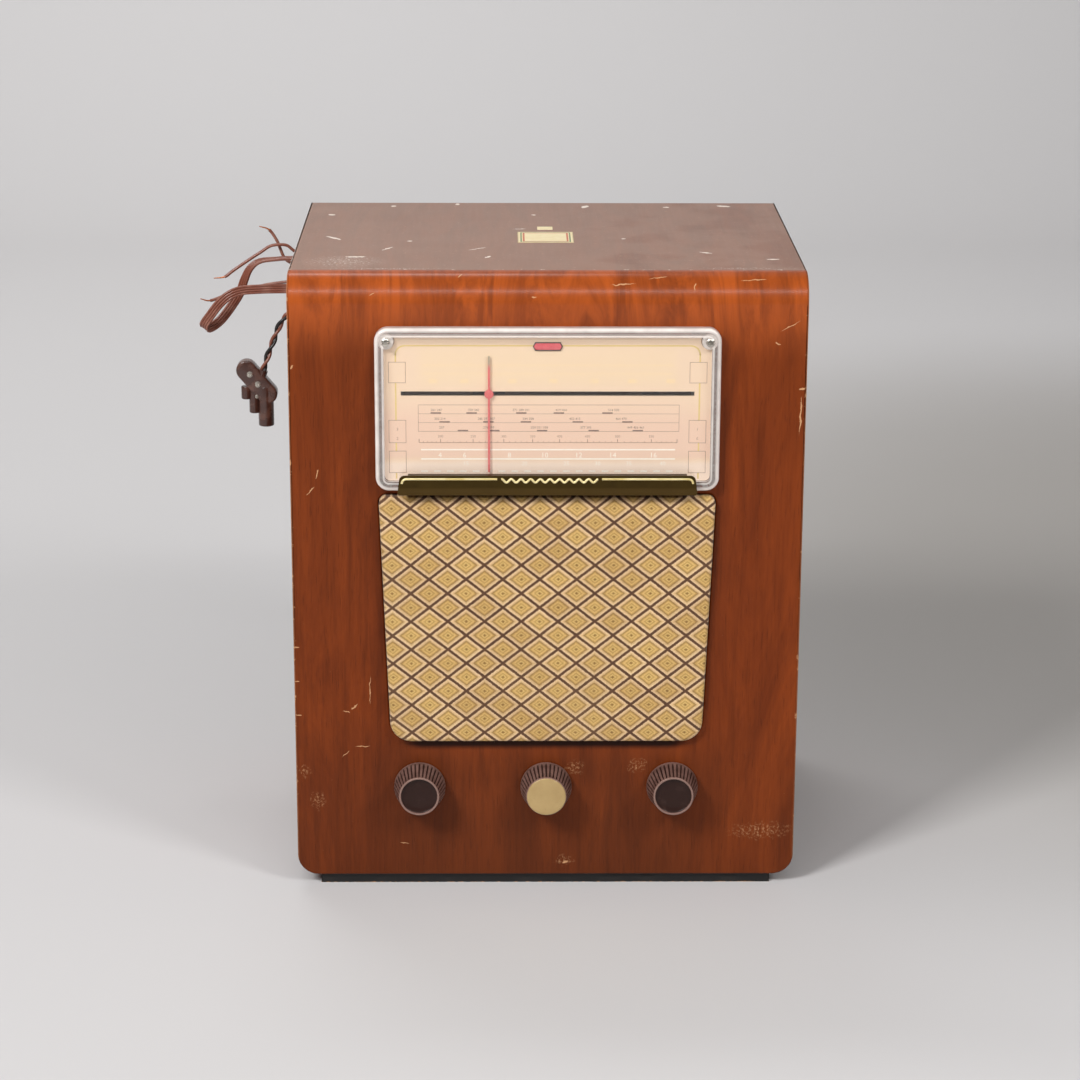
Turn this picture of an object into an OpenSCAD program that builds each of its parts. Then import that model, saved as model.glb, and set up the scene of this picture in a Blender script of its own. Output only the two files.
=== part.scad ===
// Upright table radio receiver in a bent plywood case, with its mains lead and its flat flex tied up behind.
// The case frame has its origin at the middle of the front face's bottom edge: X to the right,
// Y into the case and Z up. in_case() moves it so that the model's origin is under its middle.

/* [Case] */
// Width of the case
case_w = 380; // [376:1:400]
// Depth of the case from the front face to its rear edge
case_d = 297; // [292:1:320]
// Thickness of the bent plywood that makes the front and the top
wrap_t = 9; // [8:0.5:10]
// Thickness of each bent plywood side
side_t = 12; // [11:0.5:13]
// Thickness of the base board and of the sides' turned-in feet
base_t = 12; // [11:0.5:13]
// Outside radius where the front bends into the top
top_r = 22; // [18:1:26]
// Outside radius of the two lower corners
foot_r = 16; // [14:1:18]
// Width of each side's turned-in foot
foot_w = 40; // [34:1:46]
// Radius left on the upper corners by sanding
edge_r = 1.5; // [1:0.25:2.5]
// Length of the two runners under the base
runner_w = 345; // [320:1:350]
// Height of the runners
runner_h = 8; // [6:0.5:12]
// Width of each runner from front to back
runner_l = 22; // [16:1:28]
// Distance from the front face to the front runner
runner_inset = 4; // [2:0.5:8]
// Section of the square glue blocks and cleats
block_s = 13; // [11:0.5:14]

/* [Back panel] */
// Thickness of the fibreboard back panel
back_t = 4; // [3:0.5:5]
// Depth of the panel inside the case's rear edge
back_recess = 8; // [6:0.5:10]
// Clearance round the panel's edge
back_gap = 0.4; // [0.3:0.1:0.8]
// Length of each ventilation slot
vent_w = 46; // [40:1:52]
// Height of each ventilation slot
vent_h = 5; // [4:0.5:6]
// Distance between columns of slots
vent_pitch = 70; // [64:1:76]
// Width of the cut-out that the sockets show through
hatch_w = 104; // [98:1:112]
// Height of that cut-out
hatch_h = 38; // [34:1:42]
// Radius of the panel screws' heads
panel_head_r = 4; // [3.5:0.25:5]
// Radius of the panel screws' shanks
panel_shank_r = 1.75; // [1.5:0.25:2]

/* [Dial] */
// Width of the clear dial window
window_w = 253; // [248:1:256]
// Height of the dial window
window_h = 122.6; // [120:0.2:124]
// Gap between the top of the grille and the dial window
window_gap = 4.8; // [4:0.1:6]
// Distance from the top of the dial window to the top of the case
head_room = 37.4; // [36:0.2:44]
// Distance that the window stands out of the front face
window_proud = 8; // [7.5:0.25:10]
// Thickness of the window's front wall
window_wall = 3; // [2.5:0.25:3.5]
// Width of the window's solid rim
window_rim = 6.2; // [5.5:0.1:7]
// Corner radius of the window
window_r = 10; // [8:0.5:12]
// Radius of the bosses that the window's two screws pass through
boss_r = 6; // [5:0.25:7]
// Distance from the window's side edges to its screws
boss_inset = 8.3; // [7.5:0.1:9]
// Distance from the window's top edge to its screws
boss_drop = 10.6; // [9:0.2:11.4]
// Radius of the window screws' heads
window_head_r = 3.2; // [2.8:0.1:3.8]
// Radius of the window screws' shanks
window_shank_r = 1.5; // [1.25:0.25:1.75]
// Thickness of the printed scale plate
plate_t = 1.5; // [1:0.1:1.7]
// Clearance round the scale plate inside the window
plate_gap = 0.4; // [0.2:0.1:0.8]
// Overlap of the scale plate on the wood round the dial opening
plate_lap = 8; // [6:0.5:9]
// Length of the pointer's slot in the scale plate
slot_w = 215; // [210:1:220]
// Height of the slot
slot_h = 3.4; // [3:0.1:4]
// Height of the slot above the window's lower edge
slot_rise = 72.5; // [70:0.5:75]
// Width of the red lens above the scale
lens_w = 20.5; // [18:0.5:23]
// Height of the red lens
lens_h = 4.9; // [4:0.1:6]
// Length of the brass trim strip under the window
strip_w = 221; // [210:1:230]
// Height of the strip's face
strip_h = 13.8; // [12:0.2:15]
// Distance that the strip's face stands out in front of the window
strip_proud = 6; // [4:0.5:7]
// Thickness of the strip's metal
strip_t = 1; // [0.8:0.1:1.4]

/* [Grille] */
// Width of the cloth-covered grille at its top
grille_top_w = 249.5; // [244:0.5:254]
// Width of the grille at its bottom
grille_foot_w = 234.8; // [230:0.2:240]
// Height of the grille
grille_h = 192.6; // [190:0.2:194]
// Height of the grille's lower edge above the case's bottom
grille_z = 110.6; // [110:0.2:112]
// Radius of the grille's upper corners
grille_top_r = 6; // [5:0.5:8]
// Radius of the grille's lower corners
grille_foot_r = 16; // [13:0.5:18]
// Distance that the grille stands out of the front face
grille_proud = 6; // [5:0.25:7]
// Thickness of the grille cloth
cloth_t = 0.8; // [0.6:0.1:1]
// Clearance between the cloth and the opening that the grille sits in
grille_gap = 0.4; // [0.3:0.1:0.8]
// Width of the grille frame's bars
frame_bar = 18; // [15:0.5:22]
// Thickness of the baffle board behind the front
baffle_t = 8; // [7:0.5:9]

/* [Loudspeaker] */
// Radius of the loudspeaker's flange
speaker_r = 83; // [80:0.5:85]
// Height of the loudspeaker's centre above the case's bottom
speaker_z = 207; // [205:0.5:209]
// Radius of the hole in the flange and in the baffle
aperture_r = 70; // [68:0.5:71]
// Depth of the loudspeaker's basket behind the flange
basket_d = 42; // [38:0.5:46]
// Radius of the magnet
magnet_r = 38; // [34:0.5:42]
// Length of the magnet
magnet_l = 30; // [26:0.5:34]
// Radius of the voice coil's former
coil_r = 10.5; // [9.5:0.25:11.5]
// Travel of the cone each way
cone_travel = 1.5; // [1:0.1:2]

/* [Knobs and spindles] */
// Distance between neighbouring knobs
knob_pitch = 96; // [94:0.5:98]
// Height of the knobs' centres above the case's bottom
knob_z = 73; // [71:0.5:73.5]
// Diameter of a knob's skirt at the front panel
knob_d = 39; // [36:0.5:42]
// Diameter of a knob's rim
knob_rim_d = 30.4; // [28:0.2:32]
// Distance from the front face to a knob's rim
knob_reach = 23; // [21:0.5:26]
// Gap between a knob and the front face
knob_gap = 1; // [0.6:0.1:1.6]
// Depth of the dished face inside a knob's rim
knob_dish = 2; // [1:0.25:3]
// Number of flutes round a knob
flutes = 36; // [24:2:40]
// Distance that the ivory disc on the middle knob stands out of its rim
disc_proud = 1; // [0.6:0.1:1.4]
// Diameter of the control spindles
spindle_d = 6.35; // [6:0.05:6.4]
// Clearance of a spindle in its bush, all round
spindle_gap = 0.05; // [0.03:0.01:0.08]
// Radius of the threaded bushes
bush_r = 4.76; // [4.5:0.02:5]
// Distance from the front face to the chassis
chassis_y = 46; // [45:0.5:48]

/* [Dial drive] */
// Radius at which the cords lie on the drum
drum_r = 59; // [57:0.25:59.5]
// Distance of the drum's axis from the case's right-hand face
drum_inset = 75; // [74.5:0.5:76]
// Height of the drum's axis above the case's bottom
drum_z = 137; // [137:0.5:140]
// Depth of the plane of the pointer's cord
cord_y = 33; // [32.5:0.25:34]
// Distance from the pointer's cord to the tuning cord's plane
cord_step = 4.5; // [4:0.25:5]
// Diameter of the drive cords
cord_d = 1; // [0.8:0.1:1.1]
// Radius at which a cord lies on an idler
idler_r = 9.5; // [9:0.25:10]
// Radius at which the tuning cord lies on its spindle
winding_r = 4.5; // [4.3:0.1:4.6]
// Depth of the pointer's rail behind the front face
rail_y = 22; // [21:0.25:23]
// Diameter of the pointer's rail
rail_d = 3; // [2.5:0.25:3.5]
// Place of the pointer along the scale, as it stands now
pointer_x = -43; // [-60:1:0]
// Height of the pointer
pointer_h = 87.5; // [80:0.5:90]

/* [Tuning capacitor] */
// Radius of the moving vanes
vane_r = 23; // [20:0.5:24]
// Distance between neighbouring vanes
vane_pitch = 4; // [3.6:0.1:4.2]
// Thickness of every vane
vane_t = 0.8; // [0.6:0.1:1]
// Diameter of the capacitor's shaft
shaft_d = 6; // [5:0.25:6.5]
// Length of the capacitor's frame
gang_l = 58; // [56:1:62]

/* [Chassis] */
// Distance from each side of the case to the chassis
chassis_gap = 34; // [31:1:40]
// Distance from the chassis to the case's rear edge
chassis_rear_gap = 35; // [33:1:40]
// Height of the chassis above the base board
chassis_h = 88; // [86:0.5:90]
// Thickness of the chassis metal
sheet_t = 1.5; // [1.2:0.1:1.8]
// Diameter of the valves
valve_d = 22; // [20:0.5:24]
// Height of the valves above their holders
valve_h = 56; // [50:1:62]
// Bore of the aerial, earth and pick-up sockets
socket_d = 4.1; // [4:0.05:4.5]
// Distance between neighbouring sockets
socket_pitch = 19; // [17:0.5:20]

/* [Cords] */
// Width of the flat flex
flex_w = 8; // [7:0.25:9]
// Thickness of the flat flex
flex_t = 2.8; // [2.4:0.1:3]
// Diameter of the twisted mains lead
mains_d = 6; // [5.4:0.1:6.2]
// Diameter of the flex's single tails
tail_d = 2.6; // [2.2:0.1:2.8]
// Width of the tapes that tie the hanks to the back panel
tape_w = 7; // [6:0.5:10]

/* [Hidden] */
fine = 96;
coarse = 32;
soft_clear = 0.3;
fit_clear = 0.05;

// Sizes and places worked out from the driving sizes
window_z = grille_z + grille_h + window_gap;
case_h = window_z + window_h + head_room;
slot_z = window_z + slot_rise;
drum_x = case_w / 2 - drum_inset;
chassis_w = case_w - 2 * chassis_gap;
front_y = (knob_reach + disc_proud - case_d) / 2;
inner_w = case_w - 2 * side_t;
inner_top = case_h - wrap_t;
back_y = case_d - back_recess - back_t;
cleat_y = back_y - block_s;
window_top = window_z + window_h;
plate_w = window_w - 2 * window_rim - 2 * plate_gap;
plate_h = window_h - 2 * window_rim - 2 * plate_gap;
plate_z = window_z + window_rim + plate_gap;
lens_z = plate_z + plate_h - 8;
boss_places = [for (side = [-1, 1]) [side * (window_w / 2 - boss_inset), window_top - boss_drop]];
strip_z = window_z - 0.3;
baffle_y = wrap_t + baffle_t;
spindle_r = spindle_d / 2;
knob_r = knob_d / 2;
rim_r = knob_rim_d / 2;
shaft_r = shaft_d / 2;
rail_r = rail_d / 2;
cord_r = cord_d / 2;
tuning_y = cord_y + cord_step;
deck_z = base_t + chassis_h;
chassis_back = case_d - chassis_rear_gap;
chassis_l = chassis_back - chassis_y;
gang_y = chassis_y + 16;
socket_r = socket_d / 2;
socket_z = base_t + 44;
socket_x = 60;
dial_hole_w = plate_w - 2 * plate_lap;
dial_hole_z = plate_z + plate_lap;
dial_hole_top = plate_z + plate_h - 2.5;
dial_hole_r = 6;

// Each hank hangs behind three rows of slots, tied through the outer two
mains_rows = [252, 275, 298];
flex_rows = [327, 350, 373];
vent_rows = concat(mains_rows, flex_rows);

// Hand-laid routes of the two cords, from where each leaves the back panel to its hank and on to its end.
// The flat flex comes out, folds back on itself left of the case, and returns over the hank's start.
flex_route = [
    [30, 293, 396], [30, 298, 396], [27, 305, 396], [20, 310, 396], [10, 312, 396], [-5, 313, 396],
    [-40, 312, 396], [-90, 311, 396], [-140, 310, 395], [-180, 309, 394], [-214, 307, 394],
    [-233, 305, 394], [-250, 303, 393], [-260, 301, 389], [-268, 301, 382], [-275, 301, 373],
    [-281, 303, 364], [-278, 308, 360], [-270, 314, 364], [-262, 316, 373], [-252, 317, 388],
    [-248, 317, 399], [-243, 317, 409], [-235, 317, 415], [-222, 316, 417], [-205, 315, 418],
    [-150, 313, 418], [-90, 308, 418], [-30, 302, 418], [40, 299, 418], [49, 299, 416],
    [56, 298, 409], [59, 297, 399], [56, 296, 389], [49, 295, 382], [40, 294, 380], [15, 294, 380]
];
flex_end = [
    [-28, 306, 380], [-50, 312, 382], [-72, 318, 387], [-95, 322, 393], [-120, 322, 400],
    [-145, 322, 405], [-165, 322, 405]
];
// The way that the flex's width faces, at some of its points
flex_facing = [
    [0, [0, 0, 1]], [12, [0, 0, 1]], [14, [-0.79, 0, 0.62]], [19, [-0.79, 0, 0.62]], [24, [0, 1, 0]],
    [len(flex_route) - 1, [0, 1, 0]]
];
flex_end_facing = [[0, [0, 1, 0]], [3, [0, 0, 1]], [6, [0, 0, 1]]];
tail_step = (flex_w - tail_d) / 2;
tail_routes = [
    [[-165, 322, 405 + tail_step], [-172, 322, 405 + tail_step], [-180, 325, 408], [-188, 327, 409],
     [-200, 327, 410], [-210, 327, 412], [-215, 327, 416], [-218, 327, 423], [-221, 326, 431],
     [-227, 325, 440], [-235, 324, 443]],
    [[-165, 322, 405], [-172, 322, 405], [-180, 321, 406], [-190, 322, 411], [-200, 323, 418],
     [-207, 323, 423], [-212, 323, 427], [-218, 322, 428], [-226, 321, 427], [-234, 320, 422],
     [-242, 319, 417], [-257, 317, 407], [-264, 316, 402], [-273, 315, 401]],
    [[-165, 322, 405 - tail_step], [-172, 322, 405 - tail_step], [-200, 323, 398], [-228, 325, 394],
     [-248, 325, 389], [-264, 323, 385], [-277, 320, 381], [-285, 318, 383]]
];
mains_route = [
    [90, 309, 306], [90, 316, 306], [86, 324, 306], [78, 330, 306], [66, 332, 306], [50, 329, 306],
    [34, 320, 306], [20, 310, 306], [7, 301, 306], [-6, 295, 306]
];
mains_end = [
    [-45, 304, 307], [-75, 310, 309], [-105, 316, 313], [-130, 320, 320], [-152, 321, 331],
    [-170, 320, 345], [-184, 318, 358], [-196, 316, 367], [-206, 314, 371], [-214, 312, 369],
    [-220, 310, 360], [-224, 308, 350], [-228, 307, 340], [-231, 306, 331], [-233, 306, 325]
];

// Each hank: centre, length of its straight runs, outer radius, step between loops, its section's
// thickness and depth, and the depth of its two layers
hank_x = -70;
hank_loops = 4;
flex_hank_at = [hank_x, flex_rows[1], 120, 30, flex_t + 1.4, flex_t, flex_w, 294, 294 + flex_w + 1];
mains_hank_at = [
    hank_x, mains_rows[1], 100, 31, mains_d + 1.2, mains_d, mains_d, 293.5, 293.5 + mains_d + 0.9
];
tie_t = 0.8;
tie_half = (flex_rows[2] - flex_rows[0]) / 2;

module in_case() translate([0, front_y, runner_h]) children();

// A flat outline drawn in X and Z, made solid from depth y0 to depth y1
module slab(y0, y1) translate([0, y1, 0]) rotate([90, 0, 0]) linear_extrude(y1 - y0) children();

// An outline drawn in Y and Z, made solid from x0 to x1
module cheek(x0, x1) translate([x0, 0, 0]) rotate([90, 0, 90]) linear_extrude(x1 - x0) children();

// A round bar along Y, centred on x and z
module bar_y(r, y0, y1, x = 0, z = 0)
    translate([x, y0, z]) rotate([-90, 0, 0]) cylinder(r = r, h = y1 - y0, $fn = fine);

// A round bar along X, centred on y and z
module bar_x(r, x0, x1, y, z)
    translate([x0, y, z]) rotate([0, 90, 0]) cylinder(r = r, h = x1 - x0, $fn = fine);

// A turned shape about the Y axis through x and z; its profile is radius against depth
module turned_y(x = 0, z = 0)
    translate([x, 0, z]) rotate([-90, 0, 0]) rotate_extrude($fn = fine) children();

function unit(v) = v / norm(v);

// The centre of radius r's circle in the corner b of the path a, b, c, and where it touches
function corner_centre(a, b, c, r) =
    let (u = unit(a - b), v = unit(c - b), half = acos(u * v) / 2) b + unit(u + v) * r / sin(half);
function corner_touch(a, b, c, r) =
    let (u = unit(a - b), v = unit(c - b), d = r / tan(acos(u * v) / 2)) [b + u * d, b + v * d];

// A convex outline with its own radius at each corner
module rounded(p, radii, facets = fine) {
    n = len(p);
    polygon([
        for (i = [0:n - 1], q = corner_touch(p[(i + n - 1) % n], p[i], p[(i + 1) % n], radii[i])) q
    ]);
    for (i = [0:n - 1])
        translate(corner_centre(p[(i + n - 1) % n], p[i], p[(i + 1) % n], radii[i]))
            circle(r = radii[i], $fn = facets);
}

module rounded_box(w, z0, z1, r)
    rounded([[-w / 2, z0], [w / 2, z0], [w / 2, z1], [-w / 2, z1]], [r, r, r, r]);

// The case seen from the front: its lower corners are bent, its upper ones nearly square
module case_outline()
    rounded(
        [[-case_w / 2, 0], [case_w / 2, 0], [case_w / 2, case_h], [-case_w / 2, case_h]],
        [foot_r, foot_r, edge_r, edge_r]
    );

// The case seen from the side, with wall t taken off its front and top, run past the rear and foot by over
module side_outline(t, over = 0) {
    r = top_r - t;
    translate([t, -over]) square([case_d - t + over, case_h - t - r + over]);
    translate([t + r, -over]) square([case_d - t - r + over, case_h - t + over]);
    translate([t + r, case_h - t - r]) circle(r = r, $fn = fine);
}

module slot_outline(w, h) {
    square([w - h, h], center = true);
    for (side = [-1, 1]) translate([side * (w - h) / 2, 0]) circle(d = h, $fn = fine);
}

module case_wrap() color("sienna") in_case() difference() {
    intersection() {
        cheek(-case_w / 2, case_w / 2) difference() {
            side_outline(0);
            side_outline(wrap_t, 5);
        }
        slab(0, case_d) case_outline();
    }
    slab(-1, wrap_t + 1) rounded_box(dial_hole_w, dial_hole_z, dial_hole_top, dial_hole_r);
    slab(-1, wrap_t + 1) rounded(grille_corners(grille_gap), grille_radii(grille_gap));
    for (k = [-1:1]) bar_y(spindle_r + 2, -1, wrap_t + 1, k * knob_pitch, knob_z);
    for (p = boss_places) bar_y(window_shank_r, -1, screw_end, p[0], p[1]);
}

// A bent side with its turned-in foot; side is -1 for the left and 1 for the right
inner_foot_r = 6;
module case_side(side) color("saddlebrown") in_case() intersection() {
    slab(wrap_t, case_d) difference() {
        intersection() {
            case_outline();
            translate([side * (case_w - foot_w) / 2, case_h / 2])
                square([foot_w, 2 * case_h], center = true);
        }
        rounded(
            [[-inner_w / 2, base_t], [inner_w / 2, base_t], [inner_w / 2, 2 * case_h],
             [-inner_w / 2, 2 * case_h]],
            [inner_foot_r, inner_foot_r, 1, 1]
        );
    }
    cheek(-case_w, case_w) side_outline(wrap_t);
}
module left_side() case_side(-1);
module right_side() case_side(1);

// The chassis stands on four tabs, each held by a bolt from below
tab_s = 18;
tab_places = [
    for (x = [-1, 1], y = [0, 1])
        [x * (chassis_w / 2 - sheet_t - tab_s / 2),
         y == 0 ? chassis_y + sheet_t + tab_s / 2 : chassis_back - sheet_t - tab_s / 2]
];
bolt_r = 2.5;
bolt_head_r = 5;
bolt_head_h = 3;
nut_h = 4;

module base_board() color("peru") in_case() difference() {
    translate([foot_w - case_w / 2, wrap_t, 0]) cube([case_w - 2 * foot_w, case_d - wrap_t, base_t]);
    for (p = tab_places) translate([p[0], p[1], -1]) cylinder(r = bolt_r, h = base_t + 2, $fn = fine);
}

cleat_x = inner_w / 2 - block_s / 2;
panel_screws = [for (x = [-cleat_x, cleat_x], z = [40, case_h / 2, case_h - 40]) [x, z]];
module glue_blocks() color("burlywood") in_case() {
    low = base_t + inner_foot_r + 1;
    for (side = [-1, 1]) {
        translate([side * cleat_x - block_s / 2, wrap_t, low])
            cube([block_s, block_s, case_h - top_r - 2 - low]);
        difference() {
            translate([side * cleat_x - block_s / 2, cleat_y, low])
                cube([block_s, block_s, inner_top - 2 - low]);
            for (p = panel_screws) bar_y(panel_shank_r, back_y - panel_grip, back_y + 1, p[0], p[1]);
        }
    }
}

module runners() color("black") in_case()
    for (y = [runner_inset, case_d - runner_inset - runner_l])
        translate([-runner_w / 2, y, -runner_h]) cube([runner_w, runner_l, runner_h]);

// The back panel, with its slots, the hatch over the sockets and the two cord holes
panel_grip = 9;
grommet_r = 7;
module back_panel() color("tan") in_case() slab(back_y, back_y + back_t) difference() {
    rounded(
        [[-inner_w / 2 + back_gap, base_t + back_gap], [inner_w / 2 - back_gap, base_t + back_gap],
         [inner_w / 2 - back_gap, inner_top - back_gap], [-inner_w / 2 + back_gap, inner_top - back_gap]],
        [inner_foot_r, inner_foot_r, 1, 1]
    );
    for (k = [-1:1], z = vent_rows) translate([k * vent_pitch, z]) slot_outline(vent_w, vent_h);
    translate([socket_x, socket_z]) square([hatch_w, hatch_h], center = true);
    for (p = [flex_route[0], mains_route[0]]) translate([p[0], p[2]]) circle(r = grommet_r, $fn = fine);
    for (p = panel_screws) translate(p) circle(r = panel_shank_r, $fn = fine);
}

// Screws of the back panel, bolts of the chassis and of the loudspeaker
speaker_bolt_r = 2;
speaker_head_r = 3.4;
flange_t = 1.5;
speaker_bolts = [
    for (a = [45:90:315])
        [(speaker_r - speaker_head_r - 0.6) * cos(a), speaker_z + (speaker_r - speaker_head_r - 0.6) * sin(a)]
];
module fixing_screws() color("silver") in_case() {
    for (p = panel_screws) {
        bar_y(panel_shank_r, back_y - panel_grip, back_y + back_t, p[0], p[1]);
        bar_y(panel_head_r, back_y + back_t, back_y + back_t + 2, p[0], p[1]);
    }
    for (p = tab_places) translate(p) {
        translate([0, 0, -bolt_head_h]) cylinder(r = bolt_head_r, h = bolt_head_h, $fn = fine);
        cylinder(r = bolt_r, h = base_t + sheet_t + nut_h, $fn = fine);
        translate([0, 0, base_t + sheet_t]) cylinder(r = bolt_head_r - 0.5, h = nut_h, $fn = 6);
    }
    for (p = speaker_bolts) {
        bar_y(speaker_head_r, wrap_t - 2, wrap_t, p[0], p[1]);
        bar_y(speaker_bolt_r, wrap_t, baffle_y + flange_t + 3, p[0], p[1]);
        bar_y(speaker_head_r, baffle_y + flange_t, baffle_y + flange_t + 2.4, p[0], p[1]);
    }
}

// A bordered paper label and a bare slip, stuck on the top
label_s = 43;
label_y = 125;
slip_s = 12;
slip_gap = 10;
label_t = 0.25;
module paper_labels() color("antiquewhite") in_case() {
    translate([-label_s / 2, label_y, case_h]) cube([label_s, label_s, label_t]);
    translate([-slip_s / 2, label_y + label_s + slip_gap, case_h]) cube([slip_s, slip_s, label_t]);
}

baffle_inset = 42;
baffle_below = 12;
baffle_above = 8;
module baffle_board() color("wheat") in_case() slab(wrap_t, baffle_y) difference() {
    translate([baffle_inset - case_w / 2, grille_z - baffle_below])
        square([case_w - 2 * baffle_inset, grille_h + baffle_below + baffle_above]);
    translate([0, speaker_z]) circle(r = aperture_r, $fn = fine);
    for (p = speaker_bolts) translate(p) circle(r = speaker_bolt_r, $fn = fine);
}

// The grille: a tapered frame with cloth drawn over it and round its softened front edge
soft_edge = 2.5;
function grille_corners(g) =
    let (
        slope = (grille_top_w - grille_foot_w) / 2 / grille_h,
        foot = grille_foot_w / 2 + g - slope * g,
        top = grille_top_w / 2 + g + slope * g
    ) [[-foot, grille_z - g], [foot, grille_z - g], [top, grille_z + grille_h + g],
       [-top, grille_z + grille_h + g]];
function grille_radii(g) = [grille_foot_r + g, grille_foot_r + g, grille_top_r + g, grille_top_r + g];
module grille_block(g, rear = wrap_t) hull() {
    slab(-grille_proud - g, -grille_proud - g + 0.1)
        rounded(grille_corners(g - soft_edge), grille_radii(g - soft_edge), coarse);
    slab(-grille_proud - g + soft_edge, rear) rounded(grille_corners(g), grille_radii(g), coarse);
}
module grille_frame() color("burlywood") in_case() difference() {
    grille_block(-cloth_t);
    slab(-grille_proud - 1, wrap_t + 1) rounded(grille_corners(-frame_bar), [8, 8, 8, 8], coarse);
}
module grille_cloth() color("darkkhaki") in_case() difference() {
    grille_block(0);
    grille_block(-cloth_t, wrap_t + 1);
}

// The dial window, a clear moulding open behind, with a boss for a screw in each upper corner
head_sink = 0.4;
head_t = 1.6;
screw_end = wrap_t - 1.5;
module dial_window() color("whitesmoke") in_case() difference() {
    union() {
        difference() {
            slab(-window_proud, 0) rounded_box(window_w, window_z, window_top, window_r);
            slab(-window_proud + window_wall, 1)
                rounded_box(
                    window_w - 2 * window_rim, window_z + window_rim, window_top - window_rim,
                    window_r - window_rim + 1
                );
        }
        for (p = boss_places) bar_y(boss_r, -window_proud + window_wall - 0.5, 0, p[0], p[1]);
    }
    for (p = boss_places) {
        bar_y(window_shank_r, -window_proud - 1, 1, p[0], p[1]);
        bar_y(window_head_r, -window_proud - 1, -window_proud + head_sink, p[0], p[1]);
    }
}

module window_screws() color("silver") in_case() for (p = boss_places) {
    bar_y(window_head_r, -window_proud + head_sink - head_t, -window_proud + head_sink, p[0], p[1]);
    bar_y(window_shank_r, -window_proud + head_sink - head_t, screw_end, p[0], p[1]);
}

// The trim strip: a face in front of the window and two returns, the lower one reaching the wood
module trim_strip() color("goldenrod") in_case() {
    front = -window_proud - strip_proud;
    slab(front, front + strip_t)
        rounded(
            [[-strip_w / 2, strip_z - strip_t], [strip_w / 2, strip_z - strip_t],
             [strip_w / 2 - 2, strip_z + strip_h], [-strip_w / 2 + 2, strip_z + strip_h]],
            [2, 2, 4, 4]
        );
    translate([-strip_w / 2 + 4, front + strip_t, strip_z - strip_t])
        cube([strip_w - 8, -front - strip_t, strip_t]);
    translate([-strip_w / 2 + 8, front + strip_t, strip_z + strip_h - strip_t])
        cube([strip_w - 16, -window_proud - front - strip_t, strip_t]);
}

// The printed scale plate, lying on the wood inside the window
module scale_plate() color("navajowhite") in_case() slab(-plate_t, 0) difference() {
    rounded_box(plate_w, plate_z, plate_z + plate_h, 4);
    translate([0, slot_z]) square([slot_w, slot_h], center = true);
    for (p = boss_places) translate(p) circle(r = boss_r + plate_gap, $fn = fine);
}

module pilot_lens() color("crimson") in_case() slab(-plate_t - 1.2, -plate_t)
    translate([0, lens_z])
        polygon([
            for (q = [[-1, 0], [-0.85, 1], [0.85, 1], [1, 0], [0.85, -1], [-0.85, -1]])
                [q[0] * lens_w / 2, q[1] * lens_h / 2]
        ]);

// The bracket behind the front carries the rail, the three idlers and the lamps
bracket_t = 1.2;
bracket_y = wrap_t + bracket_t;
bracket_left = 31;
bracket_right = 27;
bracket_z = grille_z + grille_h + baffle_above + 1;
bracket_top = case_h - top_r - 3;
bracket_lap = 5.9;
lug_x = dial_hole_w / 2 + 9.1;
lamp_x = 58;
lamp_y = wrap_t + 9;
lamp_r = 4.8;
lamp_z = bracket_top - 9;
stud_r = 2.5;
idler_half = 3;
idler_insets = [36, 32, 54];
idlers = [
    [idler_insets[0] - case_w / 2, slot_z, idler_r],
    [case_w / 2 - idler_insets[1], slot_z, idler_r],
    [case_w / 2 - idler_insets[2], slot_z - 2 * idler_r, -idler_r]
];
module dial_bracket() color("slategray") in_case() {
    slab(wrap_t, bracket_y) difference() {
        translate([bracket_left - case_w / 2, bracket_z])
            square([case_w - bracket_left - bracket_right, bracket_top - bracket_z]);
        translate([bracket_lap - dial_hole_w / 2, dial_hole_z + bracket_lap - 2])
            square([dial_hole_w - 2 * bracket_lap, dial_hole_top - dial_hole_z - bracket_lap]);
    }
    for (side = [-1, 1]) {
        difference() {
            translate([side * lug_x - bracket_t / 2, bracket_y - 0.1, slot_z - 7])
                cube([bracket_t, rail_y + 5 - bracket_y, 14]);
            bar_x(rail_r, side * lug_x - 5, side * lug_x + 5, rail_y, slot_z);
        }
        difference() {
            translate([side * lamp_x - bracket_t / 2, bracket_y - 0.1, lamp_z - 7])
                cube([bracket_t, lamp_y + 7 - bracket_y, 14]);
            bar_x(lamp_r, side * lamp_x - 5, side * lamp_x + 5, lamp_y, lamp_z);
        }
    }
    for (p = idlers) {
        bar_y(stud_r + 1.5, bracket_y - 0.1, cord_y - idler_half - soft_clear, p[0], p[1]);
        bar_y(stud_r, bracket_y - 0.1, cord_y + idler_half + soft_clear, p[0], p[1]);
        bar_y(stud_r + 1.5, cord_y + idler_half + soft_clear, cord_y + idler_half + 1.3, p[0], p[1]);
    }
}

// A pilot lamp: its metal cap lies in the bracket's lug and its bulb points to the middle of the dial
cap_half = 8;
bulb_r = lamp_r + 0.7;
bulb_l = 10;
module dial_lamps() color("gold") in_case() for (side = [-1, 1])
    translate([side * (lamp_x + 2), lamp_y, lamp_z]) rotate([0, side * 90, 0]) rotate_extrude($fn = fine)
        polygon([
            [0, -cap_half - bulb_l], [2.6, -cap_half - bulb_l + 0.5], [bulb_r, -cap_half - bulb_l + 3.5],
            [bulb_r, -cap_half - 2.5], [lamp_r - 1, -cap_half], [lamp_r, -cap_half], [lamp_r, cap_half],
            [0, cap_half]
        ]);

module pointer_rail() color("lightgray") in_case()
    bar_x(rail_r, -lug_x - 3, lug_x + 3, rail_y, slot_z);

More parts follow.
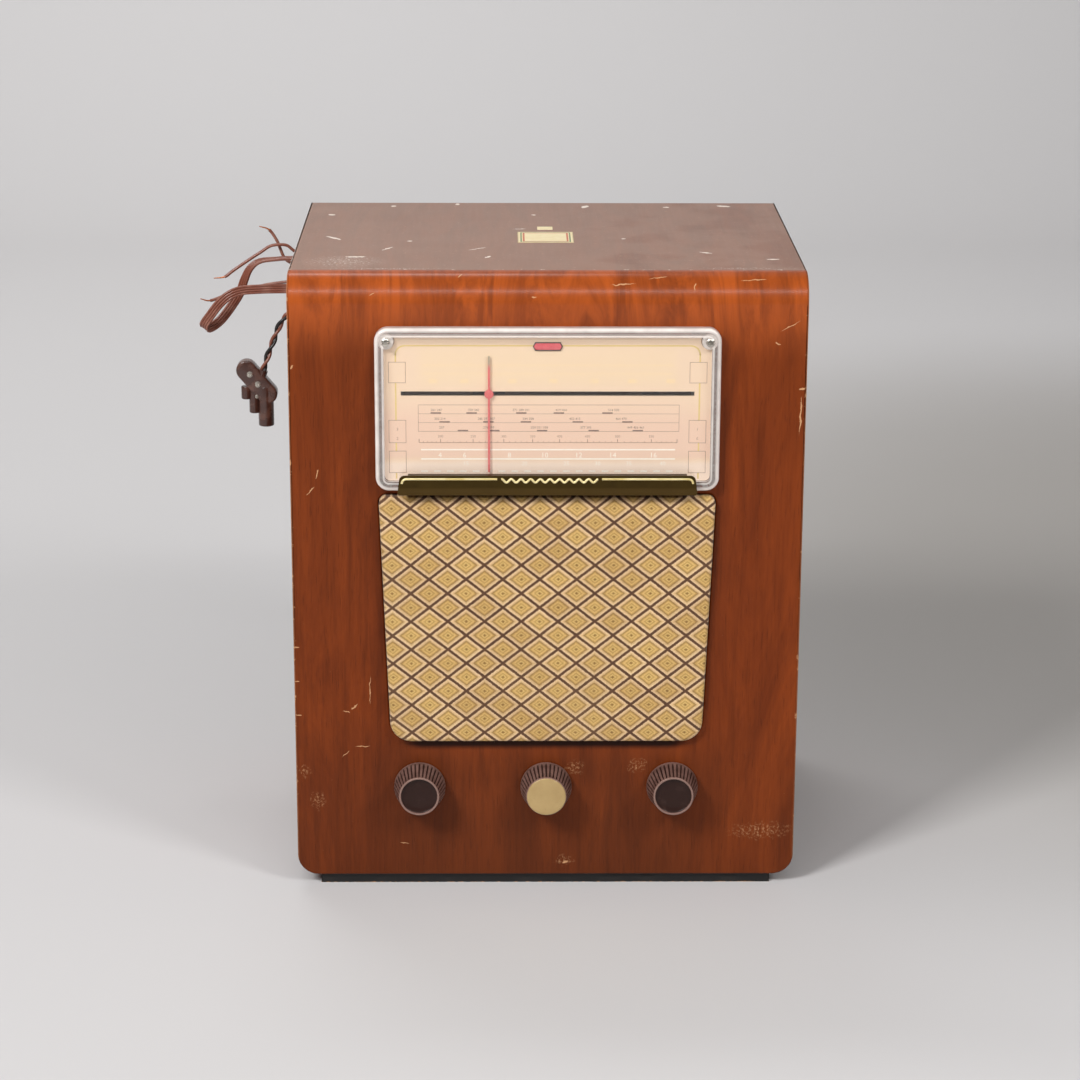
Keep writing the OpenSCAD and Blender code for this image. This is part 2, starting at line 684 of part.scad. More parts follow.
// The pointer: a needle in front of the scale, a boss, and a stem through the slot to the carriage
needle_w = 1.5;
needle_t = 0.8;
pointer_boss_r = 3.3;
pointer_z = window_z + 13.5;
stem_w = 5;
carriage_w = 24;
carriage_half = 5;
module pointer() color("firebrick") in_case() translate([pointer_x, 0, 0]) {
    translate([-needle_w / 2, -plate_t - 2, pointer_z]) cube([needle_w, needle_t, pointer_h]);
    bar_y(pointer_boss_r, -plate_t - 2.3, -plate_t - 0.6, 0, slot_z);
    translate([-stem_w / 2, -plate_t - 0.7, slot_z - slot_h / 2 + 0.5])
        cube([stem_w, plate_t + 0.7 + rail_y - carriage_half, slot_h - 1]);
}

module carriage() color("dimgray") in_case() translate([pointer_x, 0, slot_z]) difference() {
    union() {
        translate([-carriage_w / 2, rail_y - carriage_half, -carriage_half])
            cube([carriage_w, 2 * carriage_half, 2 * carriage_half]);
        translate([-5, rail_y + carriage_half - 1, 1])
            cube([10, cord_y + 3 - rail_y - carriage_half + 1, idler_r + 2.5]);
    }
    bar_x(rail_r + fit_clear, -carriage_w, carriage_w, rail_y, 0);
    bar_x(cord_r + soft_clear, -carriage_w, carriage_w, cord_y, idler_r);
}

// An idler: a grooved wheel that turns on its stud
groove_half = 0.9;
module idler(p) color("whitesmoke") in_case() turned_y(p[0], p[1]) {
    bore = stud_r + fit_clear;
    rim = idler_r + 1.5;
    floor_r = idler_r - cord_r - 0.5;
    polygon([
        [bore, cord_y - idler_half], [rim, cord_y - idler_half], [rim, cord_y - groove_half - 0.4],
        [floor_r, cord_y - groove_half], [floor_r, cord_y + groove_half],
        [rim, cord_y + groove_half + 0.4], [rim, cord_y + idler_half], [bore, cord_y + idler_half]
    ]);
}
module left_idler() idler(idlers[0]);
module outer_idler() idler(idlers[1]);
module inner_idler() idler(idlers[2]);

// The drum on the capacitor's shaft, with a groove for each cord
module drive_drum() color("ivory") in_case() difference() {
    turned_y(drum_x, drum_z) {
        rim = drum_r + 1;
        floor_r = drum_r - cord_r - 0.5;
        low = cord_y - 2.5;
        high = tuning_y + 2.5;
        polygon([
            [shaft_r, low], [9, low], [9, cord_y + 1], [drum_r - 6, cord_y + 1], [drum_r - 6, low],
            [rim, low], [rim, cord_y - groove_half - 0.4], [floor_r, cord_y - groove_half],
            [floor_r, cord_y + groove_half], [rim, cord_y + groove_half + 0.4],
            [rim, tuning_y - groove_half - 0.4], [floor_r, tuning_y - groove_half],
            [floor_r, tuning_y + groove_half], [rim, tuning_y + groove_half + 0.4], [rim, high],
            [drum_r - 6, high], [drum_r - 6, cord_y + 3], [9, cord_y + 3], [9, high], [shaft_r, high]
        ]);
    }
    for (a = [30:120:270])
        bar_y(13, cord_y - 5, tuning_y + 5, drum_x + 31 * cos(a), drum_z + 31 * sin(a));
}

// A cord stretched round pulleys. Each is [x, z, radius], with the radius negative where the cord
// passes the other way; the straight runs leave each pulley along the common tangent, and no facet
// of the bends sags below its circle by more than cord_sag.
cord_sag = 0.32;
function run_angle(p, q) =
    let (d = [q[0] - p[0], q[1] - p[1]]) atan2(d[1], d[0]) + asin((p[2] - q[2]) / norm(d));
function belt_points(p, y) =
    let (n = len(p), a = [for (i = [0:n - 1]) run_angle(p[i], p[(i + 1) % n])])
    [
        for (i = [0:n - 1])
            let (
                from = a[(i + n - 1) % n],
                back = p[i][2] < 0 ? -1 : 1,
                turn = back * ((back * (a[i] - from) + 720) % 360),
                steps = max(2, ceil(abs(turn) / (2 * acos(1 - cord_sag / abs(p[i][2])))))
            )
            for (k = [0:steps])
                let (b = from + turn * k / steps)
                [p[i][0] + p[i][2] * sin(b), y, p[i][1] - p[i][2] * cos(b)]
    ];
module belt(p, y) {
    points = belt_points(p, y);
    n = len(points);
    along = [for (i = [0:n - 1]) unit(points[(i + 1) % n] - points[(i + n - 1) % n])];
    sides = [for (t = along) cross(t, [0, 1, 0])];
    section = ring_section(cord_r, 6);
    polyhedron(
        points = [for (i = [0:n - 1], s = section) points[i] + s[0] * [0, 1, 0] + s[1] * sides[i]],
        faces = tube_faces(n, len(section), true)
    );
}
module pointer_cord() color("wheat") in_case()
    belt([[drum_x, drum_z, drum_r], idlers[1], idlers[0], idlers[2]], cord_y);
module tuning_cord() color("wheat") in_case()
    belt([[drum_x, drum_z, drum_r], [knob_pitch, knob_z, winding_r]], tuning_y);

// The tuning capacitor stands on the chassis, its shaft running forward through the drum
gang_w = 60;
gang_plate = 1.6;
gang_top = vane_r + 6;
function vane_places(from) = [for (bank = [0, 1], k = [0:3]) gang_y + from + bank * 25 + k * vane_pitch];
module gang_frame() color("gainsboro") in_case() difference() {
    translate([drum_x - gang_w / 2, gang_y, deck_z]) difference() {
        cube([gang_w, gang_l, drum_z + gang_top - deck_z]);
        translate([-1, gang_plate, gang_plate])
            cube([gang_w + 2, gang_l - 2 * gang_plate, drum_z + gang_top - deck_z]);
    }
    bar_y(shaft_r + fit_clear, gang_y - 1, gang_y + gang_l + 1, drum_x, drum_z);
}
module gang_stators() color("lightgray") in_case() {
    for (z = [4 - vane_r, vane_r - 4])
        bar_y(1.5, gang_y + gang_plate, gang_y + gang_l - gang_plate, drum_x - gang_w / 2 + 4, drum_z + z);
    for (y = vane_places(7 + vane_pitch / 2)) slab(y, y + vane_t) difference() {
        translate([drum_x - gang_w / 2 + 2, drum_z - vane_r + 1]) square([gang_w / 2 - 6, 2 * vane_r - 2]);
        translate([drum_x, drum_z]) circle(r = shaft_r + 4, $fn = fine);
    }
}
half_run = drum_r * PI / 2;
opened = (pointer_x + half_run) / drum_r * 180 / PI;
module gang_rotor() color("silver") in_case() {
    bar_y(shaft_r, cord_y - 3.5, gang_y + gang_l + 2, drum_x, drum_z);
    for (y = vane_places(7)) translate([drum_x, 0, drum_z]) rotate([0, opened, 0]) slab(y, y + vane_t)
        intersection() {
            circle(r = vane_r, $fn = fine);
            translate([0, -vane_r]) square([vane_r, 2 * vane_r]);
        }
}

// The three control spindles and their bushes
spindle_tip = -knob_reach + knob_dish + 2.5;
bush_tail = chassis_y + sheet_t + 1.5;
module tuning_spindle() color("silver") in_case() {
    bar_y(spindle_r, spindle_tip, bush_tail + 6, knob_pitch, knob_z);
    turned_y(knob_pitch, knob_z) {
        rim = winding_r + 0.7;
        floor_r = winding_r - cord_r - 0.5;
        polygon([
            [1, tuning_y - 2.2], [rim, tuning_y - 2.2], [rim, tuning_y - groove_half - 0.2],
            [floor_r, tuning_y - groove_half], [floor_r, tuning_y + groove_half],
            [rim, tuning_y + groove_half + 0.2], [rim, tuning_y + 2.2], [1, tuning_y + 2.2]
        ]);
    }
}
module control_bushes() color("darkgoldenrod") in_case() for (k = [-1:1]) difference() {
    union() {
        bar_y(bush_r, chassis_y - 5, bush_tail, k * knob_pitch, knob_z);
        translate([k * knob_pitch, chassis_y - 2.5, knob_z]) rotate([-90, 0, 0])
            cylinder(r = bush_r + 3.2, h = 2.5, $fn = 6);
        bar_y(bush_r + 3, chassis_y + sheet_t, bush_tail, k * knob_pitch, knob_z);
    }
    bar_y(spindle_r + spindle_gap, 0, 2 * chassis_y, k * knob_pitch, knob_z);
}
module volume_control() color("silver") in_case() difference() {
    bar_y(12, bush_tail, bush_tail + 16, -knob_pitch, knob_z);
    bar_y(10.5, bush_tail + 1.5, bush_tail + 14.5, -knob_pitch, knob_z);
    bar_y(spindle_r + soft_clear, bush_tail - 1, bush_tail + 3, -knob_pitch, knob_z);
}
module volume_spindle() color("silver") in_case() {
    bar_y(spindle_r, spindle_tip, bush_tail + 12, -knob_pitch, knob_z);
    difference() {
        bar_y(9, bush_tail + 8, bush_tail + 10, -knob_pitch, knob_z);
        translate([-knob_pitch - 10, bush_tail + 7, knob_z + 3]) cube([6, 4, 10]);
    }
}
wafer_places = [bush_tail + 13, bush_tail + 27];
module wavechange_switch() color("peru") in_case() difference() {
    union() {
        slab(bush_tail, bush_tail + 1.5) translate([0, knob_z]) square([32, 26], center = true);
        for (side = [-1, 1]) bar_y(1.5, bush_tail, wafer_places[1] + 4, side * 12.5, knob_z);
        for (y = wafer_places) bar_y(17, y, y + 1.6, 0, knob_z);
    }
    bar_y(7, wafer_places[0] - 1, wafer_places[1] + 5, 0, knob_z);
    bar_y(spindle_r + soft_clear, bush_tail - 1, bush_tail + 3, 0, knob_z);
}
module switch_spindle() color("silver") in_case() {
    bar_y(spindle_r, spindle_tip, wafer_places[1] + 4, 0, knob_z);
    for (y = wafer_places) bar_y(6.6, y, y + 1.6, 0, knob_z);
}

// A knob: a tapered, fluted skirt with a dished face, bored blind for its spindle
module knob(x) {
    wall = 3;
    hub = spindle_r + 4;
    step = -knob_reach + knob_dish + 5;
    run = knob_reach - knob_gap - 3;
    difference() {
        turned_y(x, knob_z) polygon([
            [0, -knob_reach + knob_dish], [rim_r - 1.5, -knob_reach + knob_dish],
            [rim_r - 1.5, -knob_reach], [rim_r, -knob_reach], [knob_r, -knob_gap - 3],
            [knob_r, -knob_gap], [knob_r - wall, -knob_gap], [rim_r - wall, step], [hub, step],
            [hub, -knob_gap], [spindle_r, -knob_gap], [spindle_r, spindle_tip], [0, spindle_tip]
        ]);
        for (i = [0:flutes - 1])
            translate([x, 0, knob_z]) rotate([0, 360 / flutes * i, 0]) translate([knob_r, -knob_gap - 3, 0])
                rotate([0, 0, -atan((knob_r - rim_r) / run)]) rotate([90, 0, 0])
                    translate([0.2, 0, -4]) cylinder(r = 0.75, h = run + 6, $fn = 16);
    }
}
module volume_knob() color("saddlebrown") in_case() knob(-knob_pitch);
module wavechange_knob() color("saddlebrown") in_case() knob(0);
module tuning_knob() color("saddlebrown") in_case() knob(knob_pitch);
module wavechange_disc() color("khaki") in_case() turned_y(0, knob_z) polygon([
    [0, -knob_reach - disc_proud], [rim_r - 1.2, -knob_reach - disc_proud],
    [rim_r - 0.5, -knob_reach - disc_proud + 0.6], [rim_r - 0.5, -knob_reach],
    [rim_r - 1.5, -knob_reach], [rim_r - 1.5, -knob_reach + knob_dish], [0, -knob_reach + knob_dish]
]);

// The chassis: an upturned tray, holed for the bushes, the valve holders and the sockets
valve_places = [
    [chassis_w / 2 - 36, 150], [chassis_w / 2 - 80, 165], [5, 150], [81 - chassis_w / 2, 140],
    [22, chassis_back - 47]
];
holder_r = 14;
holder_core_r = 11;
holder_t = 2;
strip_half = 1.5 * socket_pitch + 9;
socket_wall = 1.4;
module chassis() color("silver") in_case() {
    difference() {
        translate([-chassis_w / 2, chassis_y, base_t]) cube([chassis_w, chassis_l, chassis_h]);
        translate([-chassis_w / 2 + sheet_t, chassis_y + sheet_t, base_t - 1])
            cube([chassis_w - 2 * sheet_t, chassis_l - 2 * sheet_t, chassis_h - sheet_t + 1]);
        for (k = [-1:1]) bar_y(bush_r, chassis_y - 1, chassis_y + sheet_t + 1, k * knob_pitch, knob_z);
        for (p = valve_places)
            translate([p[0], p[1], deck_z - 5]) cylinder(r = holder_core_r + 0.2, h = 10, $fn = fine);
        translate([socket_x - strip_half + 4, chassis_back - 5, socket_z - 6])
            cube([2 * strip_half - 8, 10, 12]);
    }
    for (p = tab_places) difference() {
        translate([p[0] - tab_s / 2 - 0.1, p[1] - tab_s / 2 - 0.1, base_t])
            cube([tab_s + 0.2, tab_s + 0.2, sheet_t]);
        translate([p[0], p[1], base_t - 1]) cylinder(r = bolt_r, h = sheet_t + 2, $fn = fine);
    }
}

// The mains transformer and the small one for the loudspeaker: an iron core with its winding
module transformer(x, y, w, l, h) {
    translate([x - w / 2, y - l / 4, deck_z]) cube([w, l / 2, h]);
    translate([x - w / 4, y - l / 2, deck_z + h / 6]) cube([w / 2, l, h * 2 / 3]);
}
module transformers() color("dimgray") in_case() {
    transformer(44 - chassis_w / 2, chassis_back - 48, 66, 68, 58);
    transformer(114 - chassis_w / 2, chassis_back - 42, 36, 36, 32);
}

module valve_holders() color("saddlebrown") in_case() for (p = valve_places) translate(p) {
    translate([0, 0, deck_z]) cylinder(r = holder_r, h = holder_t, $fn = fine);
    translate([0, 0, deck_z - 8]) cylinder(r = holder_core_r, h = 8, $fn = fine);
}
module valves() color("gray") in_case() for (p = valve_places) translate([p[0], p[1], deck_z + holder_t])
    rotate_extrude($fn = fine) {
        r = valve_d / 2;
        polygon([
            [0, 0], [r - 1, 0], [r - 1, 12], [r, 14], [r, valve_h - 10], [r * 0.7, valve_h - 4],
            [2, valve_h], [0, valve_h]
        ]);
    }
can_s = 32;
can_y = 112;
round_can_r = 17;
round_can_h = 80;
round_can_inset = 38;
module screening_cans() color("lightgray") in_case() {
    for (x = [-30, 40])
        translate([x - can_s / 2, can_y - can_s / 2, deck_z]) cube([can_s, can_s, 2 * can_s + 2]);
    translate([round_can_inset - chassis_w / 2, can_y - 4, deck_z])
        cylinder(r = round_can_r, h = round_can_h, $fn = fine);
}

// Aerial, earth and pick-up sockets on one strip behind the chassis
socket_mouth = chassis_back + 8;
socket_depth = 16;
module socket_strip() color("peru") in_case() difference() {
    union() {
        translate([socket_x - strip_half, chassis_back, socket_z - 9]) cube([2 * strip_half, 3, 18]);
        for (k = [-1.5:1.5])
            bar_y(
                socket_r + socket_wall, socket_mouth - socket_depth, socket_mouth,
                socket_x + k * socket_pitch, socket_z
            );
    }
    for (k = [-1.5:1.5])
        bar_y(
            socket_r, socket_mouth - socket_depth - 1, socket_mouth + 1, socket_x + k * socket_pitch,
            socket_z
        );
}

// The loudspeaker: basket, magnet, moving cone and the soft surround that holds the cone
basket_back = baffle_y + basket_d;
basket_t = 1.5;
basket_r = speaker_r - 8;
coil_gap = 0.9;
former_half = 0.3;
surround_t = 0.8;
cone_lip_r = aperture_r - 0.5;
cone_rim_r = aperture_r - 6;
module speaker_frame() color("dimgray") in_case() difference() {
    turned_y(0, speaker_z) {
        flange_back = baffle_y + flange_t;
        throat = magnet_r - 0.5;
        polygon([
            [aperture_r, baffle_y], [speaker_r, baffle_y], [speaker_r, flange_back],
            [basket_r, flange_back], [basket_r, flange_back + 4], [throat, basket_back - 1],
            [throat, basket_back], [coil_r + 6, basket_back], [coil_r + 6, basket_back - basket_t],
            [throat - basket_t, basket_back - basket_t], [basket_r - basket_t, flange_back + 3.4],
            [basket_r - basket_t, flange_back], [aperture_r, flange_back]
        ]);
    }
    for (p = speaker_bolts) bar_y(speaker_bolt_r, baffle_y - 1, baffle_y + flange_t + 1, p[0], p[1]);
    for (a = [0, 90]) translate([0, 0, speaker_z]) rotate([0, a, 0])
        translate([-2 * speaker_r, baffle_y + flange_t + 6, -16]) cube([4 * speaker_r, basket_d - 18, 32]);
}
module speaker_magnet() color("slategray") in_case() turned_y(0, speaker_z) {
    end = basket_back + magnet_l;
    polygon([
        [0, basket_back - 1], [coil_r - former_half - coil_gap, basket_back - 1],
        [coil_r - former_half - coil_gap, end - 9], [coil_r + former_half + coil_gap, end - 9],
        [coil_r + former_half + coil_gap, basket_back], [magnet_r, basket_back], [magnet_r, end], [0, end]
    ]);
}
module speaker_cone() color("black") in_case() turned_y(0, speaker_z) {
    lip = baffle_y + flange_t + surround_t;
    neck = basket_back - 7;
    coil_end = basket_back + magnet_l - 9 - 2 - 2 * cone_travel;
    out = coil_r + former_half;
    in = coil_r - former_half;
    polygon([
        [0, neck - 2], [in, neck - 2], [cone_rim_r - 0.8, lip], [cone_lip_r, lip],
        [cone_lip_r, lip + 0.6], [cone_rim_r, lip + 0.6], [out, neck], [out, coil_end],
        [in, coil_end], [in, neck - 1.2], [0, neck - 1.2]
    ]);
}
module speaker_surround() color("dimgray") in_case() turned_y(0, speaker_z) {
    low = baffle_y + flange_t;
    polygon([
        [cone_lip_r - 4, low], [basket_r - basket_t - 0.3, low],
        [basket_r - basket_t - 0.3, low + surround_t], [cone_lip_r - 4, low + surround_t]
    ]);
}

// Rings of a cord: each is [centre, width direction, thickness direction], square to the route
function facing_at(keys, i, k = 0) =
    i <= keys[k + 1][0] || k + 2 >= len(keys)
        ? let (f = (i - keys[k][0]) / (keys[k + 1][0] - keys[k][0])) (1 - f) * keys[k][1] + f * keys[k + 1][1]
        : facing_at(keys, i, k + 1);
function rings(points, facing) = [
    for (i = [0:len(points) - 1])
        let (
            along = unit(points[min(i + 1, len(points) - 1)] - points[max(i - 1, 0)]),
            across = unit(facing[i] - (facing[i] * along) * along)
        ) [points[i], across, cross(along, across)]
];
// A round cord's width direction is carried from one ring to the next without twisting it
function carried(points, start) = [
    for (
        i = 0, d = start;
        i < len(points);
        i = i + 1,
        d = i < len(points)
            ? let (t = unit(points[min(i + 1, len(points) - 1)] - points[i - 1])) unit(d - (d * t) * t)
            : d
    ) d
];
function ring_section(r, n) = [for (k = [0:n - 1]) r * [cos(360 * (k + 0.5) / n), sin(360 * (k + 0.5) / n)]];
function flat_section(w, t) = let (c = t / 4, h = t / 2)
    [[w / 2, c], [w / 2 - c, h], [-w / 2 + c, h], [-w / 2, c], [-w / 2, -c], [-w / 2 + c, -h],
     [w / 2 - c, -h], [w / 2, -c]];
function hank_section(w, t) = let (h = t / 2)
    [[w / 2, 0], [w / 2 - h / 2, h], [-w / 2 + h / 2, h], [-w / 2, 0], [-w / 2 + h / 2, -h],
     [w / 2 - h / 2, -h]];
function tube_faces(n, m, closed = false) = concat(
    [
        for (i = [0:n - (closed ? 1 : 2)], k = [0:m - 1], half = [0, 1])
            let (a = i * m, b = (i + 1) % n * m, next = (k + 1) % m)
            half == 0 ? [a + k, b + k, b + next] : [a + k, b + next, a + next]
    ],
    closed ? [] : [for (k = [1:m - 2]) [0, k, k + 1]],
    closed ? [] : [for (k = [1:m - 2]) [(n - 1) * m, (n - 1) * m + k + 1, (n - 1) * m + k]]
);
module tube(list, section) polyhedron(
    points = [for (r = list, s = section) r[0] + s[0] * r[1] + s[1] * r[2]],
    faces = tube_faces(len(list), len(section))
);
function part_of(list, from, to) = [for (i = [from:to]) list[i]];

// A hank's loops: each is two straight runs and two round ends. The loops spiral inwards, turn back at
// the middle of one top run, where they climb to the second layer, and spiral out again; all are drawn
// in at the waist by the tie.
function hank_waist(h) = h[3] + h[5] / 2 + 0.4 - (tie_half - tie_t / 2);
function hank_point(h, t) =
    let (
        turn_back = hank_loops / 2 + 0.125,
        s = t <= turn_back ? t : 2 * turn_back - t,
        r = h[3] - h[4] * s,
        q = (t - floor(t)) * 4,
        part = floor(q),
        f = q - part,
        a = 90 + 180 * f,
        x = part == 0 ? h[2] * (0.5 - f) : part == 1 ? -h[2] / 2 + r * cos(a)
            : part == 2 ? h[2] * (f - 0.5) : h[2] / 2 - r * cos(a),
        flat = part == 0 ? r : part == 1 ? r * sin(a) : part == 2 ? -r : -r * sin(a),
        drawn = part % 2 == 0 ? hank_waist(h) * (1 + cos(360 * x / h[2])) / 2 : 0,
        climb = min(max((t - hank_loops / 2) * 4, 0), 1),
        y = h[7] + (h[8] - h[7]) * climb * climb * (3 - 2 * climb)
    ) [h[0] + x, y, h[1] + flat - sign(flat) * drawn];
function hank_points(h) = [for (i = [0:24 * hank_loops]) hank_point(h, i / 24)];

// The least gap between any two stretches of a hank that are over a quarter loop apart
function hank_gap(h) =
    let (p = hank_points(h))
    min([
        for (i = [0:len(p) - 1], j = [0:len(p) - 1]) if (j > i + 6)
            let (
                e = p[min(j + 1, len(p) - 1)] - p[j],
                d = p[i] - p[j],
                f = e * e == 0 ? 0 : min(max(d * e / (e * e), 0), 1),
                near = d - f * e
            )
            h[5] == h[6] ? norm(near) - h[5] : max(abs(near[1]) - h[6], norm([near[0], near[2]]) - h[5])
    ]);
echo(flex_hank_gap = hank_gap(flex_hank_at), mains_hank_gap = hank_gap(mains_hank_at));

flex_points = concat(flex_route, hank_points(flex_hank_at), flex_end);
flex_start = len(flex_route);
flex_stop = flex_start + 24 * hank_loops;
flex_rings = rings(
    flex_points,
    [
        for (i = [0:len(flex_points) - 1])
            i < flex_start ? facing_at(flex_facing, i)
            : i <= flex_stop ? [0, 1, 0]
            : facing_at(flex_end_facing, i - flex_stop - 1)
    ]
);
mains_points = concat(mains_route, hank_points(mains_hank_at), mains_end);
mains_start = len(mains_route);
mains_stop = mains_start + 24 * hank_loops;
mains_rings = rings(mains_points, carried(mains_points, [0, 0, 1]));

module flex_lead() color("sienna") in_case() {
    tube(part_of(flex_rings, 0, flex_start), flat_section(flex_w, flex_t));
    tube(part_of(flex_rings, flex_stop, len(flex_rings) - 1), flat_section(flex_w, flex_t));
}
module flex_hank() color("sienna") in_case()
    tube(part_of(flex_rings, flex_start, flex_stop), hank_section(flex_w, flex_t));
module flex_tails() color("sienna") in_case()
    for (p = tail_routes) tube(rings(p, carried(p, [0, 0, 1])), ring_section(tail_d / 2, 8));
module mains_lead() color("black") in_case() {
    tube(part_of(mains_rings, 0, mains_start), ring_section(mains_d / 2, 8));
    tube(part_of(mains_rings, mains_stop, len(mains_rings) - 1), ring_section(mains_d / 2, 8));
}
module mains_hank() color("black") in_case()
    tube(part_of(mains_rings, mains_start, mains_stop), ring_section(mains_d / 2, 6));

// Rubber grommets in the back panel; the one for the mains lead has a long sleeve
grommet_lip = 1.5;
module grommet(p, nose_r) turned_y(p[0], p[2]) {
    lip_r = grommet_r + 2;
    polygon([
        [0, back_y - grommet_lip], [lip_r, back_y - grommet_lip], [lip_r, back_y], [grommet_r, back_y],
        [grommet_r, back_y + back_t], [lip_r, back_y + back_t], [lip_r, back_y + back_t + grommet_lip],
        [nose_r + 1, back_y + back_t + grommet_lip], [nose_r, p[1]], [0, p[1]]
    ]);
}
module cord_grommets() color("black") in_case() {
    grommet(flex_route[0], flex_w / 2 + 1);
    grommet(mains_route[0], mains_d / 2 + 1.2);
}

// The bakelite plug: a flat oval head with screws, three round barrels under it and a collar for the lead
plug_y = 308;
plug_t = 12;
plug_ends = [[-247, 325], [-230, 305]];
plug_r = 8.5;
barrels = [[-231.5, 277, 6.5], [-241, 288, 4.5], [-247.5, 300, 4.5]];
plug_screws = [[-244, 322, 2.6], [-237.5, 313.5, 2.6], [-238.5, 303, 1.6]];
module mains_plug() color("black") in_case() {
    slab(plug_y - plug_t / 2, plug_y + plug_t / 2) {
        for (p = plug_ends) translate(p) circle(r = plug_r, $fn = fine);
        d = plug_ends[1] - plug_ends[0];
        translate(plug_ends[0]) rotate(atan2(d[1], d[0])) translate([0, -plug_r])
            square([norm(d), 2 * plug_r]);
    }
    for (b = barrels)
        translate([b[0], plug_y, b[1]]) cylinder(r = b[2], h = plug_ends[1][1] + 6 - b[1], $fn = fine);
    for (p = plug_screws) bar_y(p[2], plug_y - plug_t / 2 - 0.6, plug_y, p[0], p[1]);
    last = len(mains_end) - 1;
    lead = unit(mains_end[last] - mains_end[last - 1]);
    translate(mains_end[last]) rotate([0, 90 - atan2(lead[2], lead[0]), 0])
        cylinder(r = mains_d / 2 + 1, h = 9, $fn = fine);
}

// Tapes that tie each hank to the back panel through its slots
module tie(h) {
    back = h[8] + h[6] / 2 + soft_clear;
    cheek(h[0] - tape_w / 2, h[0] + tape_w / 2) difference() {
        translate([back_y - tie_t, h[1] - tie_half - tie_t / 2])
            square([back + 2 * tie_t - back_y, 2 * tie_half + tie_t]);
        translate([back_y, h[1] - tie_half + tie_t / 2])
            square([back - back_y, 2 * tie_half - tie_t]);
    }
}
module hank_ties() color("ivory") in_case() {
    tie(flex_hank_at);
    tie(mains_hank_at);
}

case_wrap();
left_side();
right_side();
base_board();
glue_blocks();
runners();
back_panel();
fixing_screws();
paper_labels();
baffle_board();
grille_frame();
grille_cloth();
dial_window();
window_screws();
trim_strip();
scale_plate();
pilot_lens();
dial_bracket();
dial_lamps();
pointer_rail();
pointer();
carriage();
left_idler();
outer_idler();
inner_idler();
pointer_cord();
tuning_cord();
drive_drum();
gang_frame();
gang_stators();
gang_rotor();
tuning_spindle();
control_bushes();
volume_control();
volume_spindle();
wavechange_switch();
switch_spindle();
volume_knob();
wavechange_knob();
wavechange_disc();
tuning_knob();
chassis();
transformers();
valve_holders();
valves();
screening_cans();
socket_strip();
speaker_frame();
speaker_magnet();
speaker_cone();
speaker_surround();
cord_grommets();
flex_lead();
flex_hank();
flex_tails();
mains_lead();
mains_hank();
mains_plug();
hank_ties();
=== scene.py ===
import bmesh
import bpy
import numpy as np
from mathutils import Matrix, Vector
from mathutils.geometry import tessellate_polygon


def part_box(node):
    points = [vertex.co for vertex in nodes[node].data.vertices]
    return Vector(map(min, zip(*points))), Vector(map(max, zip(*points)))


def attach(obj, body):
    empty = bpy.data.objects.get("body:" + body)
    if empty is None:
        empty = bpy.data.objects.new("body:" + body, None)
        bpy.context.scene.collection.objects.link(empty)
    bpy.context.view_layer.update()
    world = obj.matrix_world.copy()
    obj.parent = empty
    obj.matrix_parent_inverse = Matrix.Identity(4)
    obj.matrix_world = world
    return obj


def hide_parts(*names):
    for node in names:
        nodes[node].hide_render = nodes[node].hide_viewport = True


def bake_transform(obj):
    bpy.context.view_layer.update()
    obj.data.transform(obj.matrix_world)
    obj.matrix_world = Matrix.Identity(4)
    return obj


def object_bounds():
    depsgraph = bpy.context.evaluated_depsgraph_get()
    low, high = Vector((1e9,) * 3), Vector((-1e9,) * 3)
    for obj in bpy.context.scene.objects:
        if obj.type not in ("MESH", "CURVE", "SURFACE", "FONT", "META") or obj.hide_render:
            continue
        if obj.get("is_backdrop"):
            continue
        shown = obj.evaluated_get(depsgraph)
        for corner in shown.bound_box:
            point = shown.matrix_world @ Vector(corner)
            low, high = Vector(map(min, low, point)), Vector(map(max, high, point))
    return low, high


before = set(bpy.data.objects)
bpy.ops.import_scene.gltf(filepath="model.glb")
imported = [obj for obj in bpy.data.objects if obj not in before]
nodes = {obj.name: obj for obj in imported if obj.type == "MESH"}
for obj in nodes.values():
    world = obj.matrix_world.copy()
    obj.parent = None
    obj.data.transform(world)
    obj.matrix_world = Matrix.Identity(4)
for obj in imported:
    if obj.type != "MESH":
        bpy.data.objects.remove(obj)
packed_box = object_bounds()

# THE CASE'S OWN MEASURE
# The radio was drawn in millimetres from the middle of its front's lower edge: x to the right, y into
# the case and z up. The frame stands on its runners with its middle over the origin.

case_low, case_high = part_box("case_wrap")


def in_frame(points):
    """Millimetres of the case as metres of the frame: a thousandth of each, then moved back to the
    front's depth and up by the runners' height."""
    return np.asarray(points, float) / 1000 + (0, case_low.y, case_low.z)


# THE ROOM
# A grey studio sweep: the floor turns up into the wall behind in one curve. Softboxes stand left and
# right of the radio and over its front, a fourth lights the wall, and the room's own light fills in.
# The radio's soft shadow on the floor behind it is painted into the paper.


def grid_faces(rows, across, joined=False, ring=False):
    """Four-sided faces between rows of points: each takes two neighbours of one row and the same two
    of the next. joined closes every row on itself, and ring joins the last row to the first."""
    i = np.arange(rows if ring else rows - 1)[:, None]
    k = np.arange(across if joined else across - 1)[None, :]
    down, right = (i + 1) % rows, (k + 1) % across
    corners = [i * across + k, down * across + k, down * across + right, i * across + right]
    return np.stack(np.broadcast_arrays(*corners), axis=-1).reshape(-1, 4)


def capped(rings):
    """Points and faces of a closed shape from its rings, an array of (rows, points, 3): four-sided
    faces between the rings, and one flat face over the first and over the last."""
    rows, across = rings.shape[:2]
    ends = [np.arange(across)[::-1], (rows - 1) * across + np.arange(across)]
    return rings.reshape(-1, 3), [*grid_faces(rows, across, joined=True), *ends]


